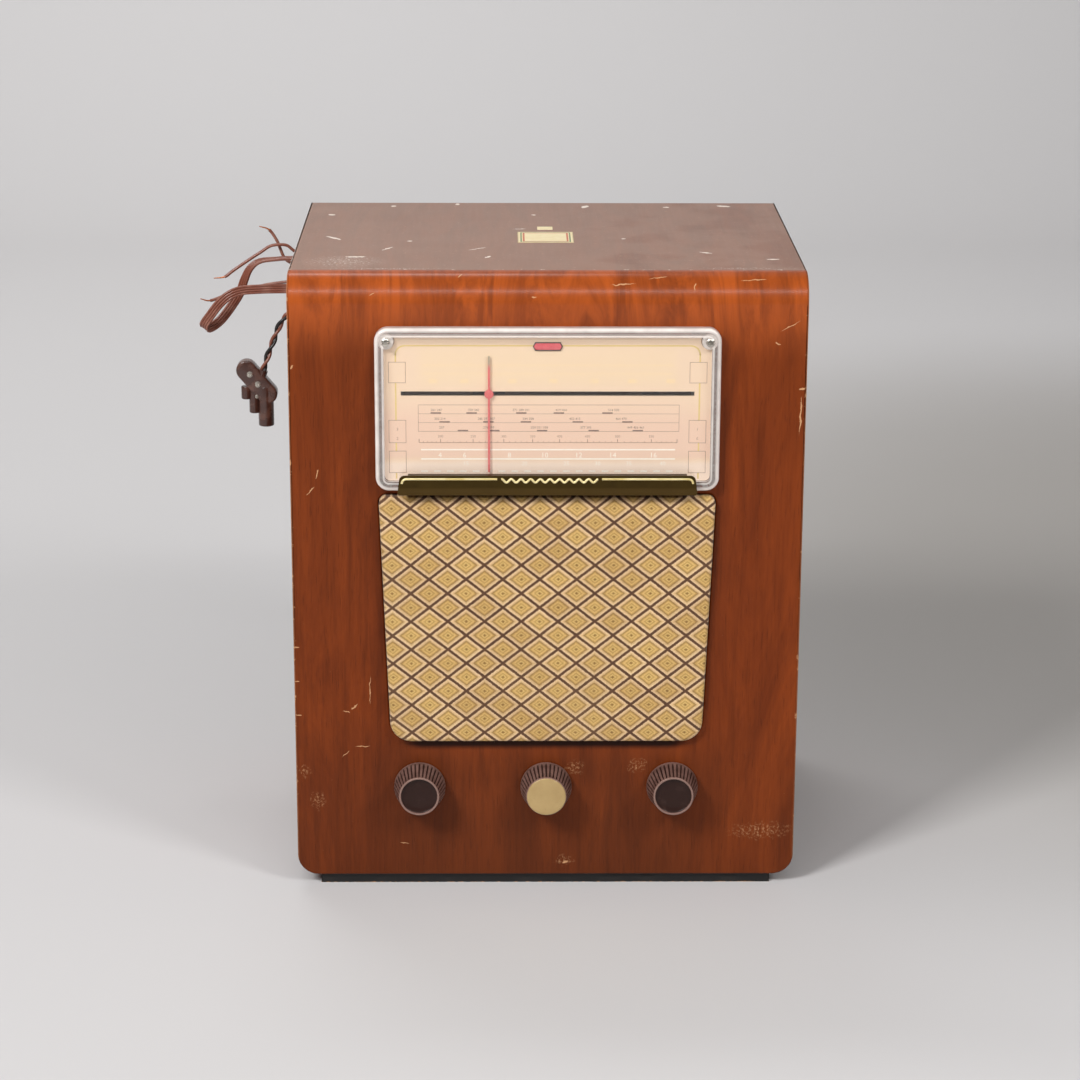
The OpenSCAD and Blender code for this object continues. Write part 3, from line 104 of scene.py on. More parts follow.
def new_mesh(name, points, faces, crease=40):
    """An object at the origin whose mesh has these points and faces, smooth but for edges that turn
    by more than crease degrees."""
    mesh = bpy.data.meshes.new(name)
    mesh.from_pydata(np.asarray(points, float), [], [list(map(int, f)) for f in faces])
    mesh.polygons.foreach_set("use_smooth", np.ones(len(mesh.polygons), bool))
    mesh.set_sharp_from_angle(angle=np.radians(crease))
    piece = bpy.data.objects.new(name, mesh)
    bpy.context.scene.collection.objects.link(piece)
    return piece


class Value:
    """A shader socket that is added, subtracted, multiplied, divided and compared as a number is."""

    def __init__(self, finish, socket):
        self.finish, self.socket = finish, socket

    def maths(self, operation, *others):
        """This socket and the others through one Math node."""
        values = dict(enumerate((self, *others)))
        return self.finish.node("ShaderNodeMath", {"operation": operation}, values)

    def __add__(self, other):
        return self.maths("ADD", other)

    def __mul__(self, other):
        return self.maths("MULTIPLY", other)

    def __truediv__(self, other):
        return self.maths("DIVIDE", other)

    def __sub__(self, other):
        return self.maths("SUBTRACT", other)

    def __rsub__(self, other):
        return self * -1 + other

    def __rtruediv__(self, other):
        return self ** -1 * other

    def __pow__(self, other):
        return self.maths("POWER", other)

    def __mod__(self, other):
        return self.maths("FLOORED_MODULO", other)

    def __lt__(self, other):
        return self.maths("LESS_THAN", other)

    def __gt__(self, other):
        return self.maths("GREATER_THAN", other)

    def __abs__(self):
        return self.maths("ABSOLUTE")

    def most(self, other):
        """The larger of the two."""
        return self.maths("MAXIMUM", other)

    def least(self, other):
        """The smaller of the two."""
        return self.maths("MINIMUM", other)

    __radd__, __rmul__ = __add__, __mul__


class Finish:
    """A surface finish: one material, whose nodes are added by node()."""

    def __init__(self, name):
        self.material = bpy.data.materials.new(name)
        self.material.use_nodes = True
        self.tree = self.material.node_tree
        self.tree.nodes.clear()

    def node(self, kind, settings=None, values=None, output=0):
        """One node of that type: its settings first, a ramp's stops of (place, colour) among them,
        then the value or link of each socket. The output asked for comes back, if it has any."""
        made = self.tree.nodes.new(kind)
        for key, setting in (settings or {}).items():
            if key == "stops":
                steps = made.color_ramp.elements
                while len(steps) < len(setting):
                    steps.new(0.5)
                for step, (at, colour) in zip(steps, setting):
                    step.position, step.color = at, (*colour, 1)
            else:
                setattr(made, key, setting)
        for key, value in (values or {}).items():
            if isinstance(value, Value):
                self.tree.links.new(value.socket, made.inputs[key])
            else:
                made.inputs[key].default_value = value
        return Value(self, made.outputs[output]) if made.outputs else None

    def place(self, scale=(1, 1, 1), turn=(0, 0, 0), shift=(0, 0, 0), source="Object"):
        """The point of the surface in object metres or its own UV map, stretched and turned."""
        point = self.node("ShaderNodeTexCoord", output=source)
        values = {"Vector": point, "Location": shift, "Rotation": turn, "Scale": scale}
        return self.node("ShaderNodeMapping", None, values)

    def axes(self, point):
        """A point's three coordinates."""
        split = {"Vector": point}
        return [self.node("ShaderNodeSeparateXYZ", None, split, output=k) for k in range(3)]

    def noise(self, point, scale, detail=3, rough=0.5, warp=0):
        """Cloudy noise from 0 to 1 at that many grains a metre."""
        values = {"Vector": point, "Scale": scale, "Detail": detail, "Roughness": rough}
        return self.node("ShaderNodeTexNoise", None, {**values, "Distortion": warp})

    def ramp(self, value, stops):
        """A colour read off a ramp: stops are (place, colour)."""
        return self.node("ShaderNodeValToRGB", {"stops": stops}, {0: value})

    def attribute(self, name, output="Fac"):
        """The value that each point of the mesh carries under that name."""
        return self.node("ShaderNodeAttribute", {"attribute_name": name}, output=output)

    def wave(self, point, scale, way):
        """Fine even ribs across the way named, X, Y or Z."""
        settings, values = {"bands_direction": way}, {"Vector": point, "Scale": scale}
        return self.node("ShaderNodeTexWave", settings, values, output=1)

    def vector(self, operation, one, other):
        """Two points or directions through one Vector Math node."""
        return self.node("ShaderNodeVectorMath", {"operation": operation}, {0: one, 1: other})

    def step(self, value, low, high):
        """0 below low, 1 above high, and a smooth rise between them."""
        settings = {"interpolation_type": "SMOOTHSTEP"}
        values = {"Value": value, "From Min": low, "From Max": high}
        return self.node("ShaderNodeMapRange", settings, values)

    def mix(self, share, under, over, how="MIX"):
        """Two colours mixed: share is how much of over shows."""
        settings = {"data_type": "RGBA", "blend_type": how}
        under, over = (c if isinstance(c, Value) else (*c, 1) for c in (under, over))
        # Sockets 6 and 7 and output 2 are the Mix node's colours
        return self.node("ShaderNodeMix", settings, {0: share, 6: under, 7: over}, output=2)

    def bump(self, height, depth, share=1.0):
        """A normal that follows height, whose full range is depth metres."""
        values = {"Height": height, "Distance": depth, "Strength": share}
        return self.node("ShaderNodeBump", None, values)

    def surface(self, **sockets):
        """The Principled shader with these sockets, as the material's surface."""
        named = {key.replace("_", " "): value for key, value in sockets.items()}
        return self.shown(self.node("ShaderNodeBsdfPrincipled", None, named))

    def shown(self, shader):
        """This shader as the material's surface."""
        self.node("ShaderNodeOutputMaterial", None, {"Surface": shader})
        return self

    def on(self, *pieces):
        """Gives the pieces this material in place of any other."""
        for piece in pieces:
            piece.data.materials.clear()
            piece.data.materials.append(self.material)
        return self


def srgb(red, green, blue):
    """A colour as an eye dropper reads it, 0 to 255, as the linear share of each light."""
    c = np.array([red, green, blue]) / 255
    return tuple(np.where(c <= 0.04045, c / 12.92, ((c + 0.055) / 1.055) ** 2.4).tolist())


sweep_front, sweep_turn, sweep_radius, sweep_top, sweep_half = -8.0, 2.4, 0.9, 3.4, 8.0
sweep_light, sweep_shadowed = srgb(206, 204, 204), srgb(164, 160, 156)
# A painted shadow of the radio darkens the floor behind it, to its right, in a round pool about this
# middle
shadow_pool_across, shadow_pool_depth = 0.75, 0.7
bend = np.radians(np.linspace(0, 90, 25))
turn = [sweep_turn + sweep_radius * np.sin(bend), sweep_radius * (1 - np.cos(bend))]
sweep_line = np.concatenate(
    [[[sweep_front, 0]], np.stack(turn, axis=1), [[sweep_turn + sweep_radius, sweep_top]]]
)
sweep_points = np.array([[x, y, z] for y, z in sweep_line for x in (-sweep_half, sweep_half)])
sweep = new_mesh("studio_sweep", sweep_points, grid_faces(len(sweep_line), 2)[:, ::-1])
paint = Finish("sweep_paper")
point = paint.place()
across, depth, up = paint.axes(point)
clouds = paint.noise(point, 2.0, detail=2)
# Painted shadow: the paper turns to its shadowed grey in a soft round pool behind the radio
shadow_pool = (across - shadow_pool_across) ** 2 + (depth - shadow_pool_depth) ** 2 * 0.6
shade = paint.step(shadow_pool + clouds * 0.1, 0.05, 0.9)
paper = paint.mix(shade, sweep_shadowed, sweep_light)
paint.surface(Base_Color=paper, Roughness=clouds * 0.05 + 0.85).on(sweep)
sweep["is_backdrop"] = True

room_light = bpy.data.worlds.new("room_light")
room_light.use_nodes = True
background = room_light.node_tree.nodes["Background"].inputs
background["Color"].default_value = (1, 1, 1, 1)
background["Strength"].default_value = 0.12
bpy.context.scene.world = room_light

# Each softbox: its place, the point it faces, its two sides in metres and its watts
softboxes = {
    "softbox_left": ((-1.8, -2.2, 2.5), (0, 0, 0.25), (0.8, 1.0), 93),
    "softbox_right": ((2.0, -2.0, 2.2), (0, 0, 0.25), (0.8, 0.8), 36),
    "softbox_front": ((0.1, -2.6, 2.7), (0, 0, 0.3), (2.8, 0.2), 26),
    "softbox_above": ((-0.7, 1.4, 2.8), (-0.4, 3.2, 0.5), (1.6, 1.0), 44),
}


def unit(vectors):
    """Each vector over its own length."""
    return vectors / np.linalg.norm(vectors, axis=-1, keepdims=True)


def stand(name, data, sides, place):
    """An object whose own x, y and z point along the three columns of sides, at that place."""
    thing = bpy.data.objects.new(name, data)
    matrix = np.eye(4)
    matrix[:3, :3], matrix[:3, 3] = sides, place
    thing.matrix_world = Matrix(matrix.tolist())
    bpy.context.scene.collection.objects.link(thing)
    return thing


for name, (place, target, size, watts) in softboxes.items():
    lamp = bpy.data.lights.new(name, "AREA")
    lamp.shape, lamp.size, lamp.size_y, lamp.energy = "RECTANGLE", *size, watts
    back = unit(np.subtract(place, target))
    side = unit(np.cross((0, 0, 1), back))
    stand(name, lamp, np.stack([side, np.cross(back, side), back], axis=1), place)

# THE CAMERA
# It stands a little left of the radio's middle and looks down on it, with a lens of about 99 mm on
# a 36 mm film, which the photograph's edges give.

camera_place = (-32.05, -2120.64, 903.04)
camera_down, camera_right, camera_roll = np.radians([16.662, 0.7247, 0.2070])
camera_lens, camera_film = 99.28, 36


def turned(angle, axis):
    """The matrix that turns a point by angle about axis 0, 1 or 2: each other axis gets the cosine of
    itself, and the sine of the other."""
    a, b = (axis + 1) % 3, (axis + 2) % 3
    m = np.eye(3)
    m[a, a] = m[b, b] = np.cos(angle)
    m[b, a], m[a, b] = np.sin(angle), -np.sin(angle)
    return m


camera_data = bpy.data.cameras.new("camera")
camera_data.lens, camera_data.sensor_width = camera_lens, camera_film
looking = turned(-camera_right, 2) @ turned(np.pi / 2 - camera_down, 0) @ turned(camera_roll, 2)
bpy.context.scene.camera = stand("camera", camera_data, looking, in_frame(camera_place))
bpy.context.scene.view_settings.view_transform = "Standard"

# THE FLAT FLEX
# Four rubber-covered wires side by side make one brown ribbon. It comes out of a grommet in the back
# panel, folds back on itself left of the case, and its spare length is tied up in a hank.

flex_width, flex_thickness, flex_wires = 8, 2.8, 4
flex_brown, flex_worn = srgb(132, 76, 58), srgb(182, 134, 116)
flex_out = [
    [30, 293, 396], [30, 298, 396], [27, 305, 396], [20, 310, 396], [10, 312, 396], [-5, 313, 396],
    [-40, 312, 396], [-90, 311, 396], [-140, 310, 395], [-180, 309, 394], [-214, 307, 394],
    [-233, 305, 394], [-250, 303, 393], [-260, 301, 389], [-268, 301, 382], [-275, 301, 373],
    [-281, 303, 364], [-278, 308, 360], [-270, 314, 364], [-262, 316, 373], [-252, 317, 388],
    [-248, 317, 399], [-243, 317, 409], [-235, 317, 415], [-222, 316, 417], [-205, 315, 418],
    [-150, 313, 418], [-90, 308, 418], [-30, 302, 418], [40, 299, 418], [49, 299, 416],
    [56, 298, 409], [59, 297, 399], [56, 296, 389], [49, 295, 382], [40, 294, 380], [15, 294, 380],
]
flex_end = [
    [-28, 306, 380], [-50, 312, 382], [-72, 318, 387], [-95, 322, 393], [-120, 322, 400],
    [-145, 322, 405], [-165, 322, 405],
]
# The way that the ribbon's width faces at some of its points, counted along each of the two lists
flex_out_facing = {
    0: (0, 0, 1), 12: (0, 0, 1), 14: (-0.79, 0, 0.62), 19: (-0.79, 0, 0.62), 24: (0, 1, 0),
}
flex_end_facing = {0: (0, 1, 0), 3: (0, 0, 1), 6: (0, 0, 1)}
flat_facing = (0.0, 1.0, 0.0)
hank_loops, loop_points = 4, 24
looped = loop_points * hank_loops + 1
tie_reach, tape_thickness = 23, 0.8
# A hank's middle in x and z, the length of its runs, its outer radius, the step between loops, the
# cord's thickness, and the depths of its two layers
flex_hank = (-70, 350, 120, 30, 4.2, flex_thickness, 294, 303)


def hank_line(x, z, run, outer, step, thick, near, far):
    """The line of a hank: each loop is two straight runs and two half-circles whose radius shrinks by
    step a loop to the middle of the hank, where the line climbs to the far layer, and then grows
    again. A half cosine draws the runs in at the waist, where the tape ties them."""
    t = np.arange(looped) / loop_points
    middle = hank_loops / 2 + 0.125
    radius = outer - step * np.where(t <= middle, t, 2 * middle - t)
    quarter, f = np.divmod((t - np.floor(t)) * 4, 1)
    c, s = radius * np.cos(np.pi / 2 + np.pi * f), radius * np.sin(np.pi / 2 + np.pi * f)
    level = [run * (0.5 - f), c - run / 2, run * (f - 0.5), run / 2 - c]
    upright = [radius, s, -radius, -s]
    along, up = (np.choose(quarter.astype(int), four) for four in (level, upright))
    waist = outer + thick / 2 + 0.4 - (tie_reach - tape_thickness / 2)
    drawn = np.where(quarter % 2 == 0, waist * (1 + np.cos(2 * np.pi * along / run)) / 2, 0)
    climb = np.clip((t - hank_loops / 2) * 4, 0, 1)
    depth = near + (far - near) * climb**2 * (3 - 2 * climb)
    return np.stack([x + along, depth, z + up - np.sign(up) * drawn], axis=1)


def faced(turns, count):
    """The facing of each of count points, read off a few of them along straight lines."""
    axes = zip(*turns.values())
    return np.stack([np.interp(np.arange(count), list(turns), axis) for axis in axes], axis=1)


def smoothed(line, steps):
    """A smooth curve through every point: between two of them it is the cubic whose slope at each
    is half the way from the point before to the point after."""
    line = np.asarray(line, float)
    far = np.concatenate([[2 * line[0] - line[1]], line, [2 * line[-1] - line[-2]]])
    a, b, c, d = (far[k : len(far) - 3 + k, None] for k in range(4))
    t = np.arange(steps)[None, :, None] / steps
    curve = b + t * (c - a) / 2 + t**2 * (a - 2.5 * b + 2 * c - d / 2)
    curve = curve + t**3 * (1.5 * (b - c) + (d - a) / 2)
    return np.concatenate([curve.reshape(-1, line.shape[1]), line[-1:]])


def axes_along(line, facing):
    """Two directions square to a line at each of its points: the facing with its part along the line
    taken off, and the one square to both."""
    along = unit(np.gradient(line, axis=0))
    wide = unit(facing - (facing * along).sum(axis=1, keepdims=True) * along)
    return wide, np.cross(along, wide)


def around(line, wide, deep, section):
    """Rings about a line: the section's two coordinates are laid along wide and deep."""
    wide, deep = (np.broadcast_to(way, line.shape)[:, None] for way in (wide, deep))
    return line[:, None] + section[None, :, :1] * wide + section[None, :, 1:] * deep


def tube(line, wide, deep, section):
    """A closed tube about a line, with a fan of faces to the line's own end at each end."""
    rings = around(line, wide, deep, section)
    rows, across = rings.shape[:2]
    k, last = np.arange(across), (rows - 1) * across
    points = np.concatenate([rings.reshape(-1, 3), line[:1], line[-1:]])
    middle = np.full(across, rows * across)
    starts = np.stack([k, np.roll(k, -1), middle], axis=1)
    ends = np.stack([last + np.roll(k, -1), last + k, middle + 1], axis=1)
    return points, [*grid_faces(rows, across, joined=True), *starts, *ends]


def outward(piece):
    """Turns every face of a closed piece outwards."""
    b = bmesh.new()
    b.from_mesh(piece.data)
    bmesh.ops.recalc_face_normals(b, faces=b.faces)
    b.to_mesh(piece.data)
    b.free()
    return piece


def ribbed_section(width, thick, wires):
    """The outline of a flat flex: over each wire the height is half an ellipse, cut off between two
    wires at about half its height; the underside is the same turned over."""
    q = -np.cos(np.linspace(0, np.pi, 7))
    core = width / wires
    x = np.concatenate([(k + 0.5) * core - width / 2 + q * core / 2 for k in range(wires)])
    half = len(q) // 2
    inner = np.tile(q * 0.84, wires)
    inner[:half], inner[-half:] = q[:half], q[-half:]
    top = np.stack([x, thick / 2 * np.sqrt(1 - inner**2)], axis=1)
    top = top[np.concatenate([[True], np.diff(x) > 1e-6])]
    return np.concatenate([top[::-1], top[1:-1] * (1, -1)])


def joined(name, shapes, crease=40):
    """One object of several closed shapes, each given as points and faces in the case's measure."""
    points, faces, start = [], [], 0
    for some, sides in shapes:
        points.append(np.asarray(some, float))
        faces += [np.asarray(f) + start for f in sides]
        start += len(points[-1])
    return outward(new_mesh(name, in_frame(np.concatenate(points)), faces, crease))


def rubber(name, fresh, worn, gloss=0.28):
    """Old rubber: its own colour, a dusty bloom in soft patches, fine pitting and a dull shine."""
    paint = Finish(name)
    point = paint.place()
    bloom = paint.step(paint.noise(point, 60, detail=4), 0.46, 0.72)
    grain = paint.noise(point, 2500, detail=2)
    return paint.surface(
        Base_Color=paint.mix(bloom * 0.55, fresh, worn),
        Roughness=bloom * 0.25 + gloss,
        Normal=paint.bump(grain, 0.00008),
        Specular_IOR_Level=0.55,
    )


line = smoothed(np.concatenate([flex_out, hank_line(*flex_hank), flex_end]), 4)
facing = np.concatenate(
    [
        faced(flex_out_facing, len(flex_out)), np.tile(flat_facing, (looped, 1)),
        faced(flex_end_facing, len(flex_end)),
    ]
)
section = ribbed_section(flex_width, flex_thickness, flex_wires)
flex = joined("flat_flex", [tube(line, *axes_along(line, smoothed(facing, 4)), section)])
brown_rubber = rubber("brown_rubber", flex_brown, flex_worn).on(flex)
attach(flex, "case")
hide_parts("flex_lead", "flex_hank")

# THE FLEX'S TAILS
# At the flex's end its wires part: three brown tails spread out, each stripped to a few millimetres
# of twisted copper.

tail_width, split, bare_length, copper_radius = 2.6, (-165, 322, 405), 8, 0.7
tail_gap = (flex_width - tail_width) / 2
copper_red = srgb(190, 110, 62)
tail_lines = {
    "flex_tail_upper": [
        [-165, 322, 405 + tail_gap], [-172, 322, 405 + tail_gap], [-180, 325, 408], [-188, 327, 409],
        [-200, 327, 410], [-210, 327, 412], [-215, 327, 416], [-218, 327, 423], [-221, 326, 431],
        [-227, 325, 440], [-235, 324, 443],
    ],
    "flex_tail_middle": [
        [-165, 322, 405], [-172, 322, 405], [-180, 321, 406], [-190, 322, 411], [-200, 323, 418],
        [-207, 323, 423], [-212, 323, 427], [-218, 322, 428], [-226, 321, 427], [-234, 320, 422],
        [-242, 319, 417], [-257, 317, 407], [-264, 316, 402], [-273, 315, 401],
    ],
    "flex_tail_lower": [
        [-165, 322, 405 - tail_gap], [-172, 322, 405 - tail_gap], [-200, 323, 398], [-228, 325, 394],
        [-248, 325, 389], [-264, 323, 385], [-277, 320, 381], [-285, 318, 383],
    ],
}


def round_section(radius, sides):
    """A circle as that many points."""
    a = 2 * np.pi * np.arange(sides) / sides
    return radius * np.stack([np.cos(a), np.sin(a)], axis=1)


def run_along(line):
    """How far along a line each of its points lies."""
    return np.concatenate([[0], np.cumsum(np.linalg.norm(np.diff(line, axis=0), axis=1))])


def dimmed(colour, share):
    """A colour with that share of its light."""
    return tuple(share * c for c in colour)


copper = Finish("bare_copper")
strands = copper.noise(copper.place(), 1800, detail=2)
copper.surface(
    Base_Color=copper.mix(strands, dimmed(copper_red, 0.5), copper_red),
    Metallic=1.0, Roughness=0.38, Normal=copper.bump(strands, 0.0002),
)
for name, route in tail_lines.items():
    line = smoothed(route, 6)
    wide, deep = axes_along(line, flat_facing)
    run = run_along(line)
    covered = int((run[-1] - run > bare_length).sum())
    bare = slice(covered - 1, None)
    thin = np.linspace(1, 0.55, len(line) - covered + 1)[:, None]
    rod = tube(line[:covered], wide[:covered], deep[:covered], round_section(tail_width / 2, 12))
    end = tube(line[bare], wide[bare] * thin, deep[bare] * thin, round_section(copper_radius, 8))
    tail, tip = joined(name, [rod]), joined(name.replace("tail", "tail_copper"), [end])
    brown_rubber.on(tail)
    copper.on(tip)
    for piece in (tail, tip):
        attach(piece, "case")
    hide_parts("flex_tails")

# THE MAINS LEAD
# Two rubber-covered wires, one black and one brown, are twisted round each other. The lead comes out
# of its own grommet with a long sleeve, is tied in a hank, and ends in the plug.

mains_width, mains_pitch = 6, 26
mains_black, mains_black_worn = srgb(34, 30, 29), srgb(92, 84, 80)
mains_out = [
    [90, 309, 306], [90, 316, 306], [86, 324, 306], [78, 330, 306], [66, 332, 306], [50, 329, 306],
    [34, 320, 306], [20, 310, 306], [7, 301, 306], [-6, 295, 306],
]
mains_end = [
    [-45, 304, 307], [-75, 310, 309], [-105, 316, 313], [-130, 320, 320], [-152, 321, 331],
    [-170, 320, 345], [-184, 318, 358], [-196, 316, 367], [-206, 314, 371], [-214, 312, 369],
    [-220, 310, 360], [-224, 308, 350], [-228, 307, 340], [-231, 306, 331], [-233, 306, 325],
]
mains_hank = (-70, 275, 100, 31, 7.2, mains_width, 293.5, 300.4)


def mark(piece, name, values):
    """Writes one value for each point of the mesh under that name."""
    piece.data.attributes.new(name, "FLOAT", "POINT").data.foreach_set("value", values)


def twisted_pair(name, line, facing, width, pitch):
    """Two round wires that wind round one line: each wire's middle is a quarter of the width off the
    line, at an angle that grows by a full turn every pitch, and the other wire is opposite."""
    wide, deep = axes_along(line, facing)
    shapes = []
    for wire in (0, 1):
        a = 2 * np.pi * run_along(line)[:, None] / pitch + np.pi * wire
        middle = line + width / 4 * (np.cos(a) * wide + np.sin(a) * deep)
        shapes.append(tube(middle, wide, deep, round_section(width / 4 - 0.02, 10)))
    piece = joined(name, shapes)
    mark(piece, "wire", np.repeat([0.0, 1.0], [len(points) for points, _ in shapes]))
    return piece


line = smoothed(np.concatenate([mains_out, hank_line(*mains_hank), mains_end]), 7)
facing = np.tile(flat_facing, (looped + len(mains_out) + len(mains_end), 1))
facing[: len(mains_out)] = (0, 0, 1)
mains = twisted_pair("mains_lead_pair", line, smoothed(facing, 7), mains_width, mains_pitch)
paint = Finish("mains_rubber")
point = paint.place()
wire = paint.attribute("wire")
bloom = paint.step(paint.noise(point, 55, detail=4), 0.48, 0.74)
paint.surface(
    Base_Color=paint.mix(
        bloom * 0.5,
        paint.mix(wire, mains_black, flex_brown),
        paint.mix(wire, mains_black_worn, flex_worn),
    ),
    Roughness=bloom * 0.25 + 0.3,
    Normal=paint.bump(paint.noise(point, 2200, detail=2), 0.00008),
).on(mains)
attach(mains, "case")
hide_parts("mains_lead", "mains_hank")

# THE PLUG
# A plug moulded in brown resin, flat and oval: two large pale screws and a small one in its face,
# one long and two short round barrels under it, and a collar that the lead goes into.

plug_depth, plug_half, plug_edge = 308, 6, 1.6
plug_ends, plug_radius = ((-247, 325), (-230, 305)), 8.5
plug_barrels = ((-231.5, 277, 6.5), (-241, 288, 4.5), (-247.5, 300, 4.5))
plug_screws = ((-244, 322, 2.6), (-237.5, 313.5, 2.6), (-238.5, 303, 1.6))
plug_top, collar_radius, collar_length = 311, 4, 9
quarter_turn = np.linspace(0, np.pi / 2, 5)
plug_brown, plug_dusty = srgb(70, 42, 34), srgb(124, 84, 68)


def inset(loop, by):
    """The loop moved to its left by that much: each corner goes along the middle of its two sides'
    normals, by the distance over the cosine of half its turn."""
    side = unit(np.roll(loop, -1, axis=0) - loop)
    normal = np.stack([-side[:, 1], side[:, 0]], axis=1)
    middle = normal + np.roll(normal, 1, axis=0)
    return loop + 2 * by * middle / (middle**2).sum(axis=1, keepdims=True)


def board(loops, front, back, front_edge, back_edge):
    """Points (across, depth, up) and faces of a flat board cut to loops of (across, up), the first
    one its outline, counter-clockwise, and the others its holes, clockwise. Each loop is carried
    round a quarter circle at the front edge and another at the back, where its place moves inwards
    by the edge less the edge times the sine, and both flat faces are filled with triangles."""
    s, c = 1 - np.sin(quarter_turn), 1 - np.cos(quarter_turn)
    moved = np.concatenate([front_edge * s, back_edge * c])
    depth = np.concatenate([front + front_edge * c, back - back_edge * s])
    points, faces, ends = [], [], ([], [])
    start = 0
    for loop in map(np.asarray, loops):
        rings = [np.insert(inset(loop, m), 1, d, axis=1) for m, d in zip(moved, depth)]
        points.append(np.concatenate(rings))
        faces += list(grid_faces(len(rings), len(loop), joined=True) + start)
        ends[0].append((rings[0], start))
        start += len(rings) * len(loop)
        ends[1].append((rings[-1], start - len(loop)))
    for side in ends:
        number = np.concatenate([first + np.arange(len(ring)) for ring, first in side])
        flat = [[(x, z, 0) for x, _, z in ring] for ring, _ in side]
        faces += [number[list(t)] for t in tessellate_polygon(flat)]
    return np.concatenate(points), faces


def rounded_loop(corners, radii, steps=8):
    """A counter-clockwise outline with a circle's arc in each corner, from where it leaves one side
    to where it meets the next."""
    corners = np.asarray(corners, float)
    arcs = []
    for k, radius in enumerate(radii):
        here = corners[k]
        to_last, to_next = unit(corners[k - 1] - here), unit(corners[(k + 1) % len(corners)] - here)
        half = np.arccos(np.clip(to_last @ to_next, -1, 1)) / 2
        centre = here + unit(to_last + to_next) * radius / np.sin(half)
        first = np.arctan2(*(here + to_last * radius / np.tan(half) - centre)[::-1])
        a = first + np.linspace(0, np.pi - 2 * half, steps + 1)
        arcs.append(centre + radius * np.stack([np.cos(a), np.sin(a)], axis=1))
    return np.concatenate(arcs)


def box_loop(left, right, low, high, radii, steps=8):
    """A rectangle with its own radius in each corner, from the lower left one round."""
    return rounded_loop([(left, low), (right, low), (right, high), (left, high)], radii, steps)


def turned_shape(profile, centre, axis="y", sides=32):
    """A closed turned shape: each (radius, along) of the profile is carried round the axis through
    centre, which runs along y or up z; where the radius is nothing, the ring is a tiny pole."""
    profile = np.asarray(profile, float)
    radius, along = np.maximum(profile[:, :1], 1e-3), profile[:, 1:]
    a = 2 * np.pi * np.arange(sides) / sides
    rings = [radius * np.cos(a), along + 0 * a, radius * np.sin(a)]
    rings = np.stack(rings if axis == "y" else [rings[0], rings[2], rings[1]], axis=-1)
    return capped(rings + np.asarray(centre, float))


def soft_rod(radius, low, high, edge):
    """The profile of a round rod with rounded ends."""
    s, c = edge * np.sin(quarter_turn), edge * np.cos(quarter_turn)
    start = np.stack([radius - edge + s, low + edge - c], axis=1)
    stop = np.stack([radius - edge + c, high - edge + s], axis=1)
    return np.concatenate([[[0, low]], start, stop, [[0, high]]])


(left, top), (right, low) = plug_ends
slope = np.arctan2(low - top, right - left)
turns = np.linspace(np.pi / 2, 3 * np.pi / 2, 17)
caps = [
    np.stack([x + plug_radius * np.cos(a), z + plug_radius * np.sin(a)], axis=1)
    for x, z, a in ((left, top, slope + turns), (right, low, slope + turns + np.pi))
]
plug_front, plug_back = plug_depth - plug_half, plug_depth + plug_half
shapes = [board([np.concatenate(caps)], plug_front, plug_back, plug_edge, plug_edge)]
shapes += [
    turned_shape(soft_rod(r, z, plug_top, 1), (x, plug_depth, 0), "z") for x, z, r in plug_barrels
]
way = unit(np.subtract(mains_end[-1], mains_end[-2]))
collar_line = mains_end[-1] + np.linspace(0, collar_length, 4)[:, None] * way
collar = tube(collar_line, *axes_along(collar_line, flat_facing), round_section(collar_radius, 20))
plug = joined("mains_plug_body", [*shapes, collar])
paint = Finish("old_brown_resin")
point = paint.place()
mottle = paint.step(paint.noise(point, 90, detail=5), 0.45, 0.75)
paint.surface(
    Base_Color=paint.mix(mottle * 0.6, plug_brown, plug_dusty),
    Roughness=mottle * 0.2 + 0.22,
    Normal=paint.bump(paint.noise(point, 700, detail=3), 0.00006),
    Coat_Weight=0.3, Coat_Roughness=0.15,
).on(plug)


def slotted_head(x, z, radius, face, proud, slot, sides=24):
    """A screw's domed head that faces forward: rings of points whose height falls with the square of
    their distance from the middle, sunk by slot where they lie in the driver's groove."""
    ring = np.linspace(0, 1, 7)[1:]
    a = 2 * np.pi * (np.arange(sides) + 0.5) / sides
    across, up = radius * np.outer(ring, np.cos(a)), radius * np.outer(ring, np.sin(a))
    height = proud * (1 - 0.6 * ring[:, None] ** 2)
    depth = face - height + np.where(np.abs(up) < 0.16 * radius, slot, 0)
    rows = np.stack([x + across, depth, z + up], axis=-1)
    foot = rows[-1:].copy()
    foot[..., 1] = face + 0.5
    return capped(np.concatenate([rows, foot]))


plug_bolts = joined(
    "mains_plug_screws", [slotted_head(x, z, r, plug_front, 0.55, 0.3) for x, z, r in plug_screws]
)
paint = Finish("dulled_nickel")
point = paint.place()
dull = paint.noise(point, 900, detail=3)
paint.surface(
    Base_Color=paint.mix(dull, srgb(150, 142, 130), srgb(205, 200, 190)),
    Metallic=0.9, Roughness=dull * 0.3 + 0.25, Normal=paint.bump(dull, 0.00005),
).on(plug_bolts)
for piece, slot in ((plug, "bakelite"), (plug_bolts, "plated_steel")):
    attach(piece, "case")
    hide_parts("mains_plug")

# GROMMETS AND TIES
# Black rubber grommets line the two holes in the back panel, the mains lead's with a tapered sleeve.
# Cotton tapes pass through the slots of the panel and tie each hank to it.

grommet_radius, grommet_lip, panel_inside, panel_outside = 7, 1.5, 285, 289
grommet_noses = ((flex_out[0], flex_width / 2 + 1), (mains_out[0], mains_width / 2 + 1.2))
tape_width, tape_clear = 7, 0.3


